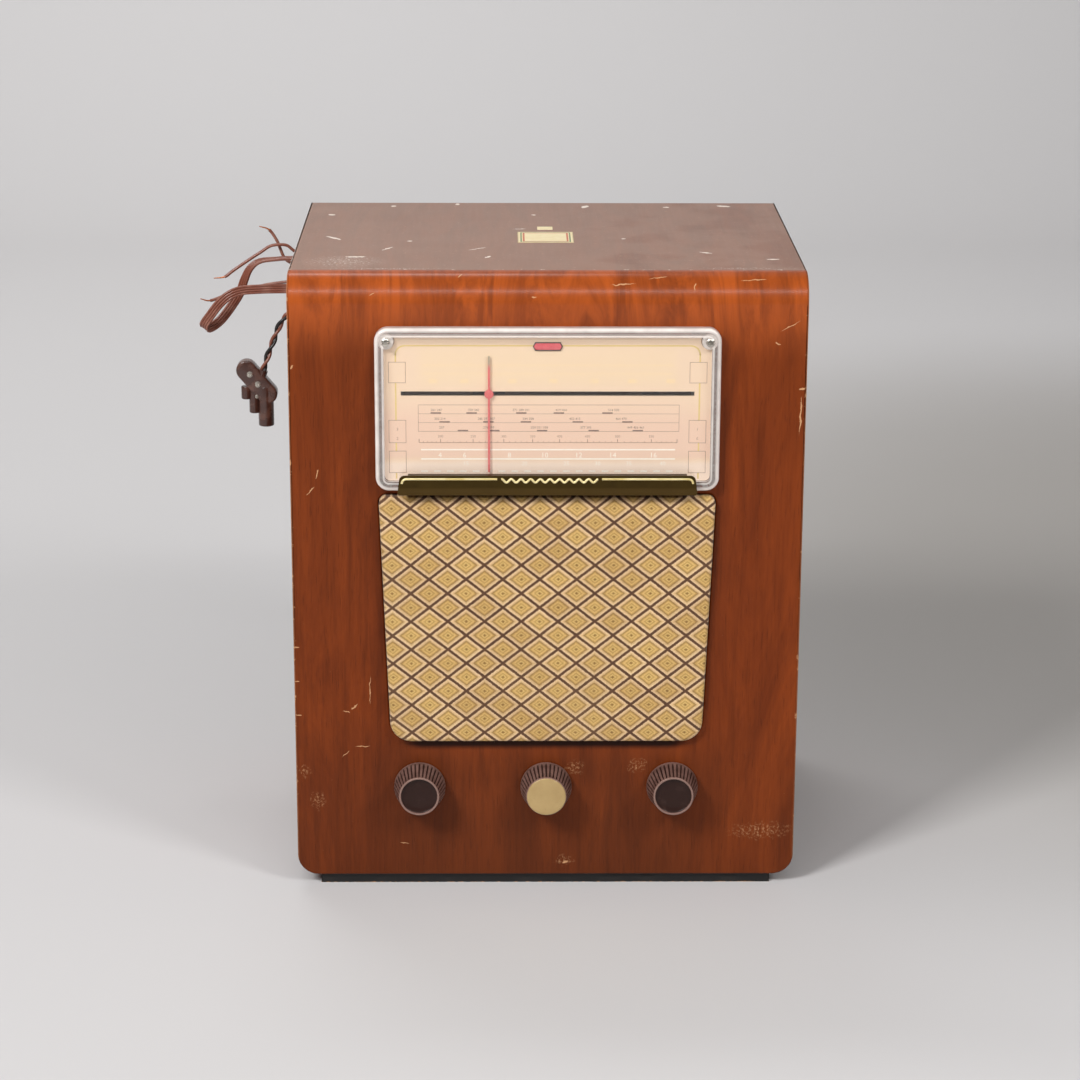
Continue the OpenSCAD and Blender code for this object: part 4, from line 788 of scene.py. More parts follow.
def grommet(place, nose):
    """A rubber grommet: a groove for the panel between two round lips, and a nose that tapers to the
    cord."""
    x, end, z = place
    lip = grommet_radius + 2
    round_out, round_back = 0.7 * np.cos(quarter_turn), 0.7 * np.sin(quarter_turn)
    rim = np.stack([lip - 0.7 + round_out, panel_outside + 0.8 + round_back], axis=1)
    profile = [
        [0, panel_inside - grommet_lip], [lip, panel_inside - grommet_lip], [lip, panel_inside],
        [grommet_radius, panel_inside], [grommet_radius, panel_outside], [lip, panel_outside],
        *rim, [nose + 1, panel_outside + grommet_lip], [nose, end], [0, end],
    ]
    return turned_shape(profile, (x, 0, z))


grommets = joined("rubber_grommets", [grommet(*g) for g in grommet_noses])
rubber("grommet_rubber", srgb(30, 28, 27), srgb(80, 75, 70), gloss=0.5).on(grommets)
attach(grommets, "case")
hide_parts("cord_grommets")


def tape(x, z, far, deep):
    """A flat tape's closed loop round a hank: an outline with rounded corners, drawn in depth and
    height, and the same again inside it, both as wide as the tape."""
    near, half = panel_inside - tape_thickness, tie_reach + tape_thickness / 2
    far = far + deep / 2 + tape_clear + tape_thickness
    outer, inner = (
        box_loop(near + e, far - e, z - half + e, z + half - e, [1.8 - e] * 4)
        for e in (0, tape_thickness)
    )
    rows = [
        np.insert(rim, 0, x + side * tape_width / 2, axis=1)
        for rim, side in ((outer, -1), (outer, 1), (inner, 1), (inner, -1))
    ]
    return np.concatenate(rows), grid_faces(4, len(outer), joined=True, ring=True)


hanks = ((flex_hank, flex_width), (mains_hank, mains_width))
ties = joined("hank_tapes", [tape(hank[0], hank[1], hank[7], deep) for hank, deep in hanks])
paint = Finish("cotton_tape")
point = paint.place()
weave = paint.wave(point, 420, "Z")
soil = paint.noise(point, 80, detail=4)
paint.surface(
    Base_Color=paint.mix(soil, srgb(196, 184, 158), srgb(222, 214, 194)),
    Roughness=0.9, Normal=paint.bump(weave, 0.00015), Sheen_Weight=0.3,
).on(ties)
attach(ties, "case")
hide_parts("hank_ties")

# THE CASE'S FRONT AND TOP
# One sheet of walnut-faced plywood, cut flat with its openings and then bent back over the top in a
# broad curve. It is stained and varnished, and dust and many small knocks show. Painted shade lies
# under and beside the grille, some painted light at the head of the front, a painted reflection on the
# top.

case_half, front_thickness, bend_radius, side_thickness = 190, 9, 22, 12
case_height = (case_high.z - case_low.z) * 1000
case_depth = (case_high.y - case_low.y) * 1000
foot_radius, edge_radius = 16, 1.5
sheet_bend = bend_radius * np.pi / 2
sheet_straight = case_height - bend_radius
sheet_length = sheet_straight + sheet_bend + case_depth - bend_radius
dial_side, dial_low, dial_high, dial_corner = 111.9, 322.6, 421.5, 6
grille_low, grille_high, grille_top_half, grille_foot_half = 110.6, 303.2, 124.75, 117.4
grille_radii, grille_gap = (16, 16, 6, 6), 0.4
knob_places, knob_height, spindle_hole = (-96, 0, 96), 73, 5.2


def grille_loop(out, steps=8):
    """The grille's tapered outline, moved outwards by out."""
    slope = (grille_top_half - grille_foot_half) / (grille_high - grille_low)
    foot, top = grille_foot_half + out - slope * out, grille_top_half + out + slope * out
    low, high = grille_low - out, grille_high + out
    corners = [(-foot, low), (foot, low), (top, high), (-top, high)]
    return rounded_loop(corners, [r + out for r in grille_radii], steps)


def points_of(mesh):
    """The places of a mesh's points."""
    place = np.zeros(len(mesh.vertices) * 3)
    mesh.vertices.foreach_get("co", place)
    return place.reshape(-1, 3)


def bent(name, flat, cuts, bend):
    """A flat board bent to its shape: it is first cut across at those heights, so that it can bend
    there, and bend then gives each flat point its place. The flat place stays on as the attribute
    sheet, in metres, which the veneer's grain follows."""
    piece = outward(new_mesh(name, *flat))
    mesh = piece.data
    b = bmesh.new()
    b.from_mesh(mesh)
    for height in cuts:
        everything = [*b.verts, *b.edges, *b.faces]
        level = {"plane_co": (0, 0, height), "plane_no": (0, 0, 1)}
        bmesh.ops.bisect_plane(b, geom=everything, dist=1e-4, **level)
    b.to_mesh(mesh)
    b.free()
    place = points_of(mesh)
    sheet = mesh.attributes.new("sheet", "FLOAT_VECTOR", "POINT")
    sheet.data.foreach_set("vector", (place / 1000).ravel())
    mesh.vertices.foreach_set("co", in_frame(bend(*place.T)).ravel())
    mesh.polygons.foreach_set("use_smooth", np.ones(len(mesh.polygons), bool))
    outward(piece)
    mesh.set_sharp_from_angle(angle=np.radians(30))
    return piece


def over_the_top(x, depth, run):
    """Where a point of the flat sheet lies once it is bent: up the front, then round the bend by its
    run over the outer radius, at that radius less its depth, then back along the top."""
    a = np.clip((run - sheet_straight) / bend_radius, 0, np.pi / 2)
    radius = bend_radius - depth
    back = np.maximum(run - sheet_straight - sheet_bend, 0)
    y = bend_radius - radius * np.cos(a) + back
    z = np.minimum(run, sheet_straight) + radius * np.sin(a)
    return np.stack([x, y, z], axis=1)


outline = box_loop(-case_half, case_half, 0, sheet_length, [foot_radius, foot_radius, 0.5, 0.5], 12)
holes = [
    box_loop(-dial_side, dial_side, dial_low, dial_high, [dial_corner] * 4), grille_loop(grille_gap),
    *(round_section(spindle_hole, 48) + (x, knob_height) for x in knob_places),
]
flat = board([outline, *(hole[::-1] for hole in holes)], 0, front_thickness, edge_radius, 0.3)
bend_cuts = sheet_straight + np.linspace(0, sheet_bend, 25)
case_front = bent("case_front_and_top", flat, bend_cuts, over_the_top)


def walnut(name, light, dark):
    """Walnut veneer before its wear: broad bands of two browns, darker ribbons, fine streaks and
    short pores, all noise stretched along the grain of the flat sheet. Beside the finish, the point
    and the colour, it gives the sheet's across and up, the bands, streaks and pores, and drawn."""
    paint = Finish(name)
    point = paint.attribute("sheet", "Vector")

    def drawn(wide, long, detail, rough=0.55, warp=0.0):
        """Noise stretched along the grain, by its grains a metre across and along it."""
        return paint.noise(paint.vector("MULTIPLY", point, (wide, wide, long)), 1, detail, rough, warp)

    across, depth, up = paint.axes(point)
    bands = drawn(16, 3.2, 6, 0.66, 1.8)
    middle = tuple(0.5 * (a + b) for a, b in zip(light, dark))
    wood = paint.ramp(bands, [(0.25, dark), (0.5, middle), (0.75, light)])
    streaks = drawn(330, 16, 4, 0.65, 0.6)
    pores = paint.step(drawn(1300, 60, 2, 0.5), 0.6, 0.72)
    ribbons = paint.step(drawn(60, 5, 4, 0.6, 1.2), 0.48, 0.72)
    wood = paint.mix(ribbons * 0.3, wood, dimmed(dark, 0.5))
    wood = paint.mix(paint.step(streaks, 0.4, 0.75) * 0.3, wood, dimmed(dark, 0.6))
    wood = paint.mix(pores * 0.4, wood, dimmed(dark, 0.3))
    return paint, point, wood, (across, up), (bands, streaks, pores, drawn)


def smears(paint, point, marks, warp=0.0016):
    """Where the finish is scratched: each mark is (across, up, long, wide, angle) in millimetres and
    degrees, a ball of noise-bent points squeezed to that ellipse, and the marks add up."""
    values = {"Vector": point, "Scale": 260.0, "Detail": 3.0}
    rough = paint.node("ShaderNodeTexNoise", None, values, output=1)
    shift = paint.vector("MULTIPLY", paint.vector("SUBTRACT", rough, (0.5,) * 3), (warp * 2,) * 3)
    bent_point = paint.vector("ADD", point, shift)
    total = 0
    for x, z, long, wide, angle in marks:
        values = {
            "Vector": bent_point, "Location": (x / 1000, 0.0, z / 1000),
            "Rotation": (0.0, -np.radians(angle), 0.0), "Scale": (long / 1000, 1.0, wide / 1000),
        }
        spot = {0: paint.node("ShaderNodeMapping", {"vector_type": "TEXTURE"}, values)}
        ball = paint.node("ShaderNodeTexGradient", {"gradient_type": "SPHERICAL"}, spot, output=1)
        total = ball + total
    return total


walnut_light, walnut_dark = srgb(145, 65, 22), srgb(97, 40, 13)
walnut_glow, walnut_foot = srgb(184, 86, 28), srgb(60, 35, 21)
pale_wood, dust_and_reflection_grey, shade_brown = srgb(206, 156, 112), srgb(186, 161, 146), srgb(30, 15, 9)
walnut_front = walnut("walnut_front", walnut_light, walnut_dark)
paint, point, wood, (across, up), (bands, streaks, pores, drawn) = walnut_front
turn_start, turn_end = sheet_straight / 1000, (sheet_straight + sheet_bend) / 1000
# Broad changes: a lighter orange at the head, partly figure and partly painted light, darker towards
# the foot, painted shadow under and painted shade beside the grille, and darker towards the left
figure = paint.step(drawn(34, 5, 5, 0.65, 2.2), 0.36, 0.64)
# Lighter orange at the head of the front: partly the veneer's figure, partly painted light where the
# bend catches the lamps
glow = paint.step(up, 0.400, turn_start + 0.006)
wood = paint.mix(glow * (figure * 0.6 + 0.2), wood, walnut_glow)
foot = 1 - paint.step(up + bands * 0.06, 0.05, 0.2)
between = (1 - paint.step(up, 0.085, 0.13)) * (1 - paint.step(abs(across), 0.09, 0.16))
wood = paint.mix(foot * 0.24 + between * 0.22, wood, walnut_foot)
clouds, grit = paint.noise(point, 24, detail=6), paint.noise(point, 520, detail=4, rough=0.7)
# Painted shadow under the grille's lower edge, and painted shade beside the grille and the window
under_grille_shadow = paint.step(up, 0.1010, 0.1070) * (1 - paint.step(up, 0.15, 0.16))
under_grille_shadow = under_grille_shadow * (1 - paint.step(abs(across), 0.092, 0.112))
beside_shade = 1 - paint.step(abs(across) + clouds * 0.02, 0.128, 0.152)
beside_shade = paint.step(abs(across), 0.112, 0.122) * beside_shade
beside_shade = beside_shade * paint.step(up, 0.12, 0.16) * (1 - paint.step(up, 0.40, 0.43))
# The painted shadow and shade, with a darkening towards the left, all mix in towards one dark brown
painted_shade_and_left_dark = under_grille_shadow * 0.9 + beside_shade * 0.26 + paint.step(across * -1, 0.05, 0.17) * (1 - glow) * 0.16
wood = paint.mix(painted_shade_and_left_dark.least(0.85), wood, shade_brown)
# The top, seen flat on, is darkened and then greyed, partly by dust and partly by a painted reflection
# of the pale room
on_top = paint.step(up + grit * 0.002, turn_end - 0.0015, turn_end + 0.002)
wood = paint.mix(on_top * 0.7, wood, dimmed(walnut_dark, 0.55))
dust_and_reflection_film = on_top * (clouds * 0.2 + 0.42 - paint.step(clouds + across, 0.55, 0.75) * 0.16)
wood = paint.mix(dust_and_reflection_film, wood, dust_and_reflection_grey)
flecks = paint.step(paint.noise(point, 230, detail=5, rough=0.75), 0.6, 0.68)
specks = paint.step(grit, 0.69, 0.74) * (on_top * 0.45 + 0.25)
# Scratches and rubbed places, as smears() takes them: up is the run up the flat sheet
scratches = [
    (186, 364, 22, 1.0, 88), (187, 384, 4, 1.4, 20), (-133, 150, 18, 0.6, 89), (-145, 137, 5, 0.9, 40),
    (-151, 133, 4, 0.7, -10), (-152, 99, 6, 0.6, 42), (-139, 105, 9, 0.7, 4), (-170, 319, 6, 0.7, 74),
    (-175, 306, 7, 0.7, 52), (-188, 184, 4, 0.9, 0), (-188, 157, 3, 0.8, 0), (-187, 130, 4, 0.9, 0),
    (-187, 400, 3, 1.0, 70), (177, 431, 13, 0.5, 28), (15, 10, 4, 1.6, 20), (-108, 26, 6, 0.5, -6),
    (55, 462, 14, 0.8, 4), (80, 468, 12, 0.8, 12), (107, 460, 5, 0.8, 80), (150, 466, 16, 0.8, 2),
    (-128, 454, 3, 0.8, 30), (-64, 470, 4, 0.7, 40), (-10, 452, 3, 0.7, 0), (168, 418, 4, 1.0, -20),
    (-163, 602, 16, 3.0, -50), (-122, 739, 4, 5, 0), (34, 737, 10, 4, 70), (147, 740, 10, 5, -20),
    (-143, 528, 13, 3.5, 0), (-104, 590, 3.5, 3.5, 0), (-44, 528, 7, 2.6, 60), (-70, 748, 3, 6, 0),
    (-52, 560, 14, 1.4, 40), (-20, 640, 9, 1.6, 10), (120, 545, 9, 2.4, -30), (-120, 560, 12, 1.6, 60),
    (-8, 700, 3, 4, 20), (100, 735, 4, 4, 0), (60, 600, 3, 3, 0), (-170, 700, 4, 5, 40),
    (168, 520, 8, 3, 0),
]
marked = smears(paint, point, scratches)
rubs = [
    (165, 36, 28, 8, 3), (-183, 84, 6, 5, 60), (-173, 61, 7, 8, 0), (22, 87, 9, 7, 30),
    (70, 89, 10, 6, 20), (15, 12, 9, 5, 0), (-120, 484, 60, 3, 0), (140, 486, 50, 3, 0),
    (-150, 510, 34, 26, 0),
]
rubbed = smears(paint, point, rubs, 0.006) * paint.step(grit, 0.48, 0.66) * 0.8
chips = paint.step(paint.noise(point, 150, detail=4, rough=0.7), 0.56, 0.64)
at_edge = paint.step(abs(across) + chips * 0.0022, 0.1899, 0.1912)
# Where the bend meets the top a pale chipped line shows: partly worn varnish, partly a painted
# highlight
at_turn = chips * (1 - paint.step(abs(up - turn_end), 0.0006, 0.0022)) * 0.6
bare = paint.step(marked * (grit * 1.5 + 0.2), 0.3, 0.5) * 0.85 + rubbed + specks
bare = bare + at_edge * 0.7 + at_turn + flecks * on_top * 0.45
bare = (bare + paint.step(abs(across), 0.1886, 0.19) * 0.35).least(0.85)
wood = paint.mix(bare, wood, paint.mix(on_top * (1 - flecks), pale_wood, srgb(250, 238, 226)))
paint.surface(
    Base_Color=wood,
    Roughness=streaks * 0.1 + bare * 0.25 + dust_and_reflection_film * 0.3 + 0.32,
    Normal=paint.bump(pores * -0.6 + streaks * 0.3 - bare, 0.0001),
    Specular_IOR_Level=0.12, Coat_Weight=glow * (1 - on_top) * 0.42 + 0.03, Coat_Roughness=0.24,
).on(case_front)
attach(case_front, "case")
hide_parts("case_wrap")

# THE SIDES
# Each side is a sheet of the same veneered plywood behind the front's edge and under the top's. Its
# lower edge is bent inwards into a narrow foot, which the base board is glued between.

foot_width, side_height, side_corner = 40, case_height - front_thickness, bend_radius - front_thickness
foot_flat = foot_width - foot_radius
foot_bend = foot_radius * np.pi / 2
side_length = foot_flat + foot_bend + side_height - foot_radius


def round_the_foot(along, depth, run):
    """Where a point of a flat side lies once it is bent: out along the foot, round the lower corner
    at its radius less the point's depth, then up."""
    a = np.clip((run - foot_flat) / foot_radius, 0, np.pi / 2)
    radius = foot_radius - depth
    x = case_half - foot_width + np.minimum(run, foot_flat) + radius * np.sin(a)
    z = foot_radius - radius * np.cos(a) + np.maximum(run - foot_flat - foot_bend, 0)
    return np.stack([x, along, z], axis=1)


outline = box_loop(
    front_thickness, case_depth, 0, side_length, [0.3, 0.3, 0.3, side_corner], 10
)
flat = board([outline], 0, side_thickness, 0.35, 0.3)
foot_cuts = foot_flat + np.linspace(0, foot_bend, 19)
right_side = bent("right_side_board", flat, foot_cuts, round_the_foot)
left_side = bent("left_side_board", flat, foot_cuts, lambda *p: round_the_foot(*p) * (-1, 1, 1))
walnut_side = walnut("walnut_side", srgb(132, 58, 22), srgb(74, 28, 12))
paint, point, wood, _, (_, streaks, pores, _) = walnut_side
clouds, grit = paint.noise(point, 20, detail=6), paint.noise(point, 480, detail=4, rough=0.7)
scratches = [
    (60, 330, 22, 1.0, 70), (150, 210, 30, 0.8, 96), (230, 120, 9, 3, 20), (110, 90, 14, 1.2, 8),
]
marked = smears(paint, point, scratches)
bare = paint.step(marked * (grit * 1.4 + 0.3), 0.32, 0.46) + paint.step(grit, 0.7, 0.74) * 0.2
bare = bare.least(0.9)
wood = paint.mix(paint.step(clouds, 0.5, 0.8) * 0.2, wood, dust_and_reflection_grey)
paint.surface(
    Base_Color=paint.mix(bare, wood, pale_wood),
    Roughness=streaks * 0.12 + bare * 0.3 + 0.34,
    Normal=paint.bump(pores * -0.6 + streaks * 0.3 - bare, 0.0001),
    Specular_IOR_Level=0.2,
).on(right_side, left_side)
for piece, node in ((right_side, "right_side"), (left_side, "left_side")):
    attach(piece, "case")
    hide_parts(node)

# THE BASE BOARD AND GLUE BLOCKS
# The base board is glued between the sides' feet, and square glue blocks run up the case's four
# inside corners. All are bare softwood, yellowed and dusty.

raw_light, raw_dark, raw_soil = srgb(206, 168, 118), srgb(158, 112, 68), srgb(96, 74, 56)


def bare_wood(name, stretch):
    """Bare softwood: soft year rings and fine fibres, both drawn out along the grain by stretch, dirt
    in patches, and a dry rough surface."""
    paint = Finish(name)
    point = paint.place(scale=stretch)
    rings, fibres = paint.noise(point, 130, detail=3, warp=0.6), paint.noise(point, 900, detail=3)
    soil = paint.step(paint.noise(paint.place(), 26, detail=5), 0.5, 0.8)
    wood = paint.mix(fibres * 0.35, paint.mix(rings, raw_dark, raw_light), raw_dark)
    return paint.surface(
        Base_Color=paint.mix(soil * 0.5, wood, raw_soil),
        Roughness=fibres * 0.2 + 0.68,
        Normal=paint.bump(fibres * 0.6 + rings * 0.4, 0.0002),
    )


bare_wood("base_wood", (0.05, 1, 1)).on(nodes["base_board"])
bare_wood("block_wood", (1, 1, 0.05)).on(nodes["glue_blocks"])

# THE RUNNERS
# Two battens, painted black, are glued under the base and keep it off the table. Their lower edges
# are rubbed bare and their faces dusty.

runner_black, runner_dust = srgb(12, 10, 9), srgb(48, 42, 38)
paint = Finish("runner_paint")
point = paint.place()
across, depth, up = paint.axes(point)
chips = paint.noise(point, 240, detail=5)
worn = (up * -500 + chips * 1.6) > 0.75
dusty = paint.step(paint.noise(point, 45, detail=4), 0.45, 0.75)
paint.surface(
    Base_Color=paint.mix(worn, paint.mix(dusty * 0.4, runner_black, runner_dust), raw_dark),
    Roughness=dusty * 0.3 + 0.42,
    Normal=paint.bump(chips, 0.0001),
).on(nodes["runners"])

# THE BACK PANEL
# One sheet of brown fibreboard with punched slots, screwed to the blocks. Its smooth face is marked
# by hands and by dust drawn through the slots.

board_light, board_dark, board_dust = srgb(140, 98, 62), srgb(92, 60, 38), srgb(150, 134, 112)
paint = Finish("fibreboard")
point = paint.place()
across, depth, up = paint.axes(point)
mottle, fibre = paint.noise(point, 60, detail=5), paint.noise(point, 1100, detail=4, rough=0.7)
cloud = paint.step(paint.noise(point, 14, detail=4), 0.5, 0.78)
drawn_dust = (1 - paint.step(abs(up - 0.32), 0.07, 0.16)) * cloud
colour = paint.mix(fibre * 0.4, paint.mix(mottle, board_dark, board_light), board_dark)
paint.surface(
    Base_Color=paint.mix(drawn_dust * 0.45 + cloud * 0.2, colour, board_dust),
    Roughness=mottle * 0.25 + 0.45,
    Normal=paint.bump(fibre, 0.00018),
).on(nodes["back_panel"])

# SCREWS AND BOLTS
# Six slotted screws hold the back panel, four bolts with hexagon nuts the chassis, and four more
# the loudspeaker. All are steel, dulled and here and there rusty.

panel_screw_places = [(x, z) for x in (-171.5, 171.5) for z in (40, 234, 428)]
chassis_bolt_places = [(x, y) for x in (-145.5, 145.5) for y in (56.5, 251.5)]
speaker_middle, speaker_bolt_circle = 207, 79
# The head's and the shank's radii, how proud the head stands, and the depth or height where the
# shank ends or the nut begins
panel_screw, chassis_bolt, speaker_bolt = (4, 1.75, 2, 276), (5, 2.5, 3, 13.5), (3.4, 2, 2, 18.5)
chassis_nut_height, speaker_nut_height = 4, 2.4


def nut(radius, low, high, centre, axis):
    """A hexagon nut with its corners turned off at both ends."""
    chamfer = 0.12 * radius
    profile = [
        [0, low], [radius - chamfer, low], [radius, low + chamfer], [radius, high - chamfer],
        [radius - chamfer, high], [0, high],
    ]
    return turned_shape(profile, centre, axis, sides=6)


shapes = []
head, shank, proud, reach = panel_screw
for x, z in panel_screw_places:
    points, faces = slotted_head(x, z, head, -panel_outside, proud, 0.9)
    shapes.append((points * (1, -1, 1), faces))
    shapes.append(turned_shape(soft_rod(shank, reach, panel_outside + 0.5, 0.4), (x, 0, z)))
head, shank, proud, nut_low = chassis_bolt
for x, y in chassis_bolt_places:
    points, faces = slotted_head(x, y, head, 0, proud, 1.1)
    nut_high = nut_low + chassis_nut_height
    shapes.append((points[:, [0, 2, 1]], faces))
    shapes.append(turned_shape(soft_rod(shank, 0, nut_high, 0.4), (x, y, 0), "z"))
    shapes.append(nut(head - 0.5, nut_low, nut_high, (x, y, 0), "z"))
head, shank, proud, nut_low = speaker_bolt
for a in np.radians([45, 135, 225, 315]):
    x, z = speaker_bolt_circle * np.cos(a), speaker_middle + speaker_bolt_circle * np.sin(a)
    shapes.append(slotted_head(x, z, head, front_thickness, proud, 0.8))
    shapes.append(turned_shape(soft_rod(shank, front_thickness, nut_low + 3, 0.4), (x, 0, z)))
    shapes.append(nut(head, nut_low, nut_low + speaker_nut_height, (x, 0, z), "y"))
screws = joined("screws_and_bolts", shapes, crease=35)


def metal(name, bright, dull, gloss=0.3, shine=1.0, rust=0.0):
    """A metal part: its own colour, dull patches, a fine tooled grain and, where rust is over 0,
    brown spots that are rough and no longer shine."""
    paint = Finish(name)
    point = paint.place()
    patch = paint.step(paint.noise(point, 75, detail=5), 0.42, 0.72)
    grain = paint.noise(point, 1500, detail=3)
    colour, rough, metallic = paint.mix(patch, bright, dull), patch * 0.22 + gloss, shine
    if rust:
        spots = paint.step(paint.noise(point, 300, detail=6, rough=0.65), 0.62, 0.68) * rust
        colour = paint.mix(spots, colour, srgb(98, 56, 32))
        rough, metallic = rough + spots * 0.35, shine - spots * shine
    return paint.surface(
        Base_Color=colour, Metallic=metallic, Roughness=rough, Normal=paint.bump(grain, 0.00004)
    )


metal("old_steel", srgb(178, 172, 162), srgb(112, 104, 94), 0.34, rust=0.8).on(screws)
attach(screws, "case")
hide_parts("fixing_screws")

# THE PAPER LABELS
# A small label with two plain coloured lines round it and a bare slip behind it, stuck on the top.
# The paper is yellowed and stained at its edges.

label_middle, label_half = (0.0, 0.01), 0.0215
label_lines = ((0.0188, 0.0006, srgb(74, 112, 74)), (0.0168, 0.0007, srgb(190, 70, 52)))
paint = Finish("label_paper")
point = paint.place(shift=(-label_middle[0], -label_middle[1], 0))
across, depth, up = paint.axes(point)
out = abs(across).most(abs(depth))
stain, fibre = paint.noise(point, 130, detail=5), paint.noise(point, 1600, detail=4)
paper = paint.mix(stain, srgb(226, 202, 146), srgb(246, 234, 200))
for reach, half, ink in label_lines:
    line = (abs(out - reach) < half) * (stain * 0.4 + 0.6)
    paper = paint.mix(line, paper, ink)
edge = paint.step(out, label_half - 0.0012, label_half) * (out < label_half + 0.001)
paint.surface(
    Base_Color=paint.mix(edge * stain, paper, srgb(140, 104, 62)),
    Roughness=stain * 0.2 + 0.55, Normal=paint.bump(fibre, 0.00006),
).on(nodes["paper_labels"])

# THE BAFFLE AND GRILLE FRAME
# The plywood baffle lies behind the front and carries the loudspeaker; the grille frame is a
# tapered wooden ring glued to it. Cloth hides both from the front.

bare_wood("baffle_ply", (0.05, 1, 1)).on(nodes["baffle_board"], nodes["grille_frame"])

# THE GRILLE CLOTH
# A woven furnishing cloth with a lattice of brown lines and nested gold diamonds, drawn tight over
# the frame, round its soft front edge and into the opening, where it is tacked behind.

grille_front, grille_edge, cloth_thickness, cloth_sag = -6, 2.5, 0.5, 0.6
lattice_middle, lattice_pitch = (-5.55, 258.1), (27.45, 22.0)
thread_step, line_from = 0.00045, 0.443
cloth_tones = (
    (0.00, (136, 98, 42)), (0.08, (170, 132, 66)), (0.16, (232, 196, 122)), (0.27, (190, 150, 78)),
    (0.38, (232, 194, 120)), (0.49, (206, 166, 94)), (0.58, (158, 120, 64)), (0.68, (226, 190, 134)),
    (0.86, (248, 214, 168)), (0.886, (118, 80, 46)), (1.00, (84, 52, 30)),
)


def evenly(loop, count):
    """The same closed outline through that many points, evenly spaced along it."""
    closed = np.concatenate([loop, loop[:1]])
    run = run_along(closed)
    at = np.linspace(0, run[-1], count, endpoint=False)
    return np.stack([np.interp(at, run, closed[:, k]) for k in (0, 1)], axis=1)


cloth_points = 480
edge = evenly(grille_loop(0, 16), cloth_points)
# Up the opening's wall from behind the front, over the frame's round edge, then in to the middle
a = np.linspace(0, np.pi / 2, 7)
inwards = np.concatenate([[0, 0, 0, 0], grille_edge * (1 - np.cos(a))])
depth = np.concatenate([[9, 6, 3, 0], grille_front + grille_edge * (1 - np.sin(a))])
rings = [np.insert(inset(edge, m) if m else edge, 1, d, axis=1) for m, d in zip(inwards, depth)]
rim, middle = rings[-1], rings[-1].mean(axis=0)
for share in np.linspace(0, 1, 34)[1:-1]:
    hollow = np.clip(share / 0.45, 0, 1)
    ring = rim + (middle - rim) * share
    ring[:, 1] = grille_front + cloth_sag * hollow**2 * (3 - 2 * hollow)
    rings.append(ring)
rings.append(middle + (rings[-1] - middle) * 0.01)
last = (len(rings) - 1) * cloth_points + np.arange(cloth_points)
faces = [*grid_faces(len(rings), cloth_points, joined=True), last]
cloth = joined("grille_brocade", [(np.concatenate(rings), faces)])
thick = cloth.modifiers.new("thickness", "SOLIDIFY")
thick.thickness, thick.offset = cloth_thickness / 1000, -1

paint = Finish("brocade")
point = paint.place()
drift = paint.noise(point, 22, detail=2)
threads = paint.vector("SNAP", point, (thread_step,) * 3)
across, depth, up = paint.axes(threads)
right = (across * 1000 - lattice_middle[0] + drift * 0.7 - 0.35) / lattice_pitch[0]
above = (up * 1000 - lattice_middle[1] + drift * 0.7 - 0.35) / lattice_pitch[1]
one, other = right + above + 0.5, right - above + 0.5
share = abs(one % 1 - 0.5).most(abs(other % 1 - 0.5))
frayed = paint.noise(point, 800, detail=3) * 0.12 - 0.06
tone = paint.ramp(share * 2 + frayed, [(at, srgb(*colour)) for at, colour in cloth_tones])
cell = paint.node("ShaderNodeCombineXYZ", None, {0: one - one % 1, 1: other - other % 1})
cell = paint.node("ShaderNodeTexWhiteNoise", {"noise_dimensions": "2D"}, {"Vector": cell})
speck = paint.node("ShaderNodeTexWhiteNoise", {"noise_dimensions": "3D"}, {"Vector": threads})
soil = paint.step(paint.noise(point, 11, detail=4), 0.45, 0.8)
tone = paint.mix(cell * 0.2 + speck * 0.24, tone, srgb(150, 112, 66), "MULTIPLY")
tone = paint.mix(soil * 0.2, tone, srgb(150, 118, 78))
warp, weft = paint.wave(point, 285, "X"), paint.wave(point, 285, "Z")
lifted = 1 - paint.step(share, line_from - 0.02, line_from + 0.01)
paint.surface(
    Base_Color=tone,
    Roughness=speck * 0.15 + 0.72,
    Normal=paint.bump(warp * 0.3 + weft * 0.3 + speck * 0.15 + lifted * 0.6, 0.00035, 0.8),
    Sheen_Weight=0.25, Sheen_Roughness=0.5,
).on(cloth)
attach(cloth, "case")
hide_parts("grille_cloth")

# THE SCALE PLATE
# A plate printed in pale peach lies on the wood inside the window: a gold line round its edge,
# outlined squares at the sides, a scale with figures, and a slot that the pointer stands in.

plate_face, print_height = -1.5, 0.05
print_face = plate_face - print_height
plate_high, plate_low = srgb(240, 212, 182), srgb(236, 202, 177)
plate_warm, plate_foot = srgb(246, 222, 170), srgb(250, 230, 210)
scale_line, scale_half = 343.6, 94.5
paint = Finish("printed_peach")
point = paint.place()
across, depth, up = paint.axes(point)
cloud = paint.noise(point, 18, detail=3)
shade = paint.step(up * 1000 + cloud * 14 - 7, 362, 392)
foot = 1 - paint.step(up * 1000 + cloud * 4, 336, 344)
warm = paint.step(up * 1000 + cloud * 10, 396, 404) * (1 - paint.step(up * 1000, 418, 425))
warm = warm * (1 - paint.step(abs(across), 0.088, 0.1)) * 0.2
peach = paint.mix(shade, plate_low, plate_high)
paint.surface(
    Base_Color=paint.mix(warm + foot * 0.8, peach, paint.mix(foot, plate_warm, plate_foot)),
    Roughness=cloud * 0.1 + 0.34, Coat_Weight=0.2, Coat_Roughness=0.15,
).on(nodes["scale_plate"])


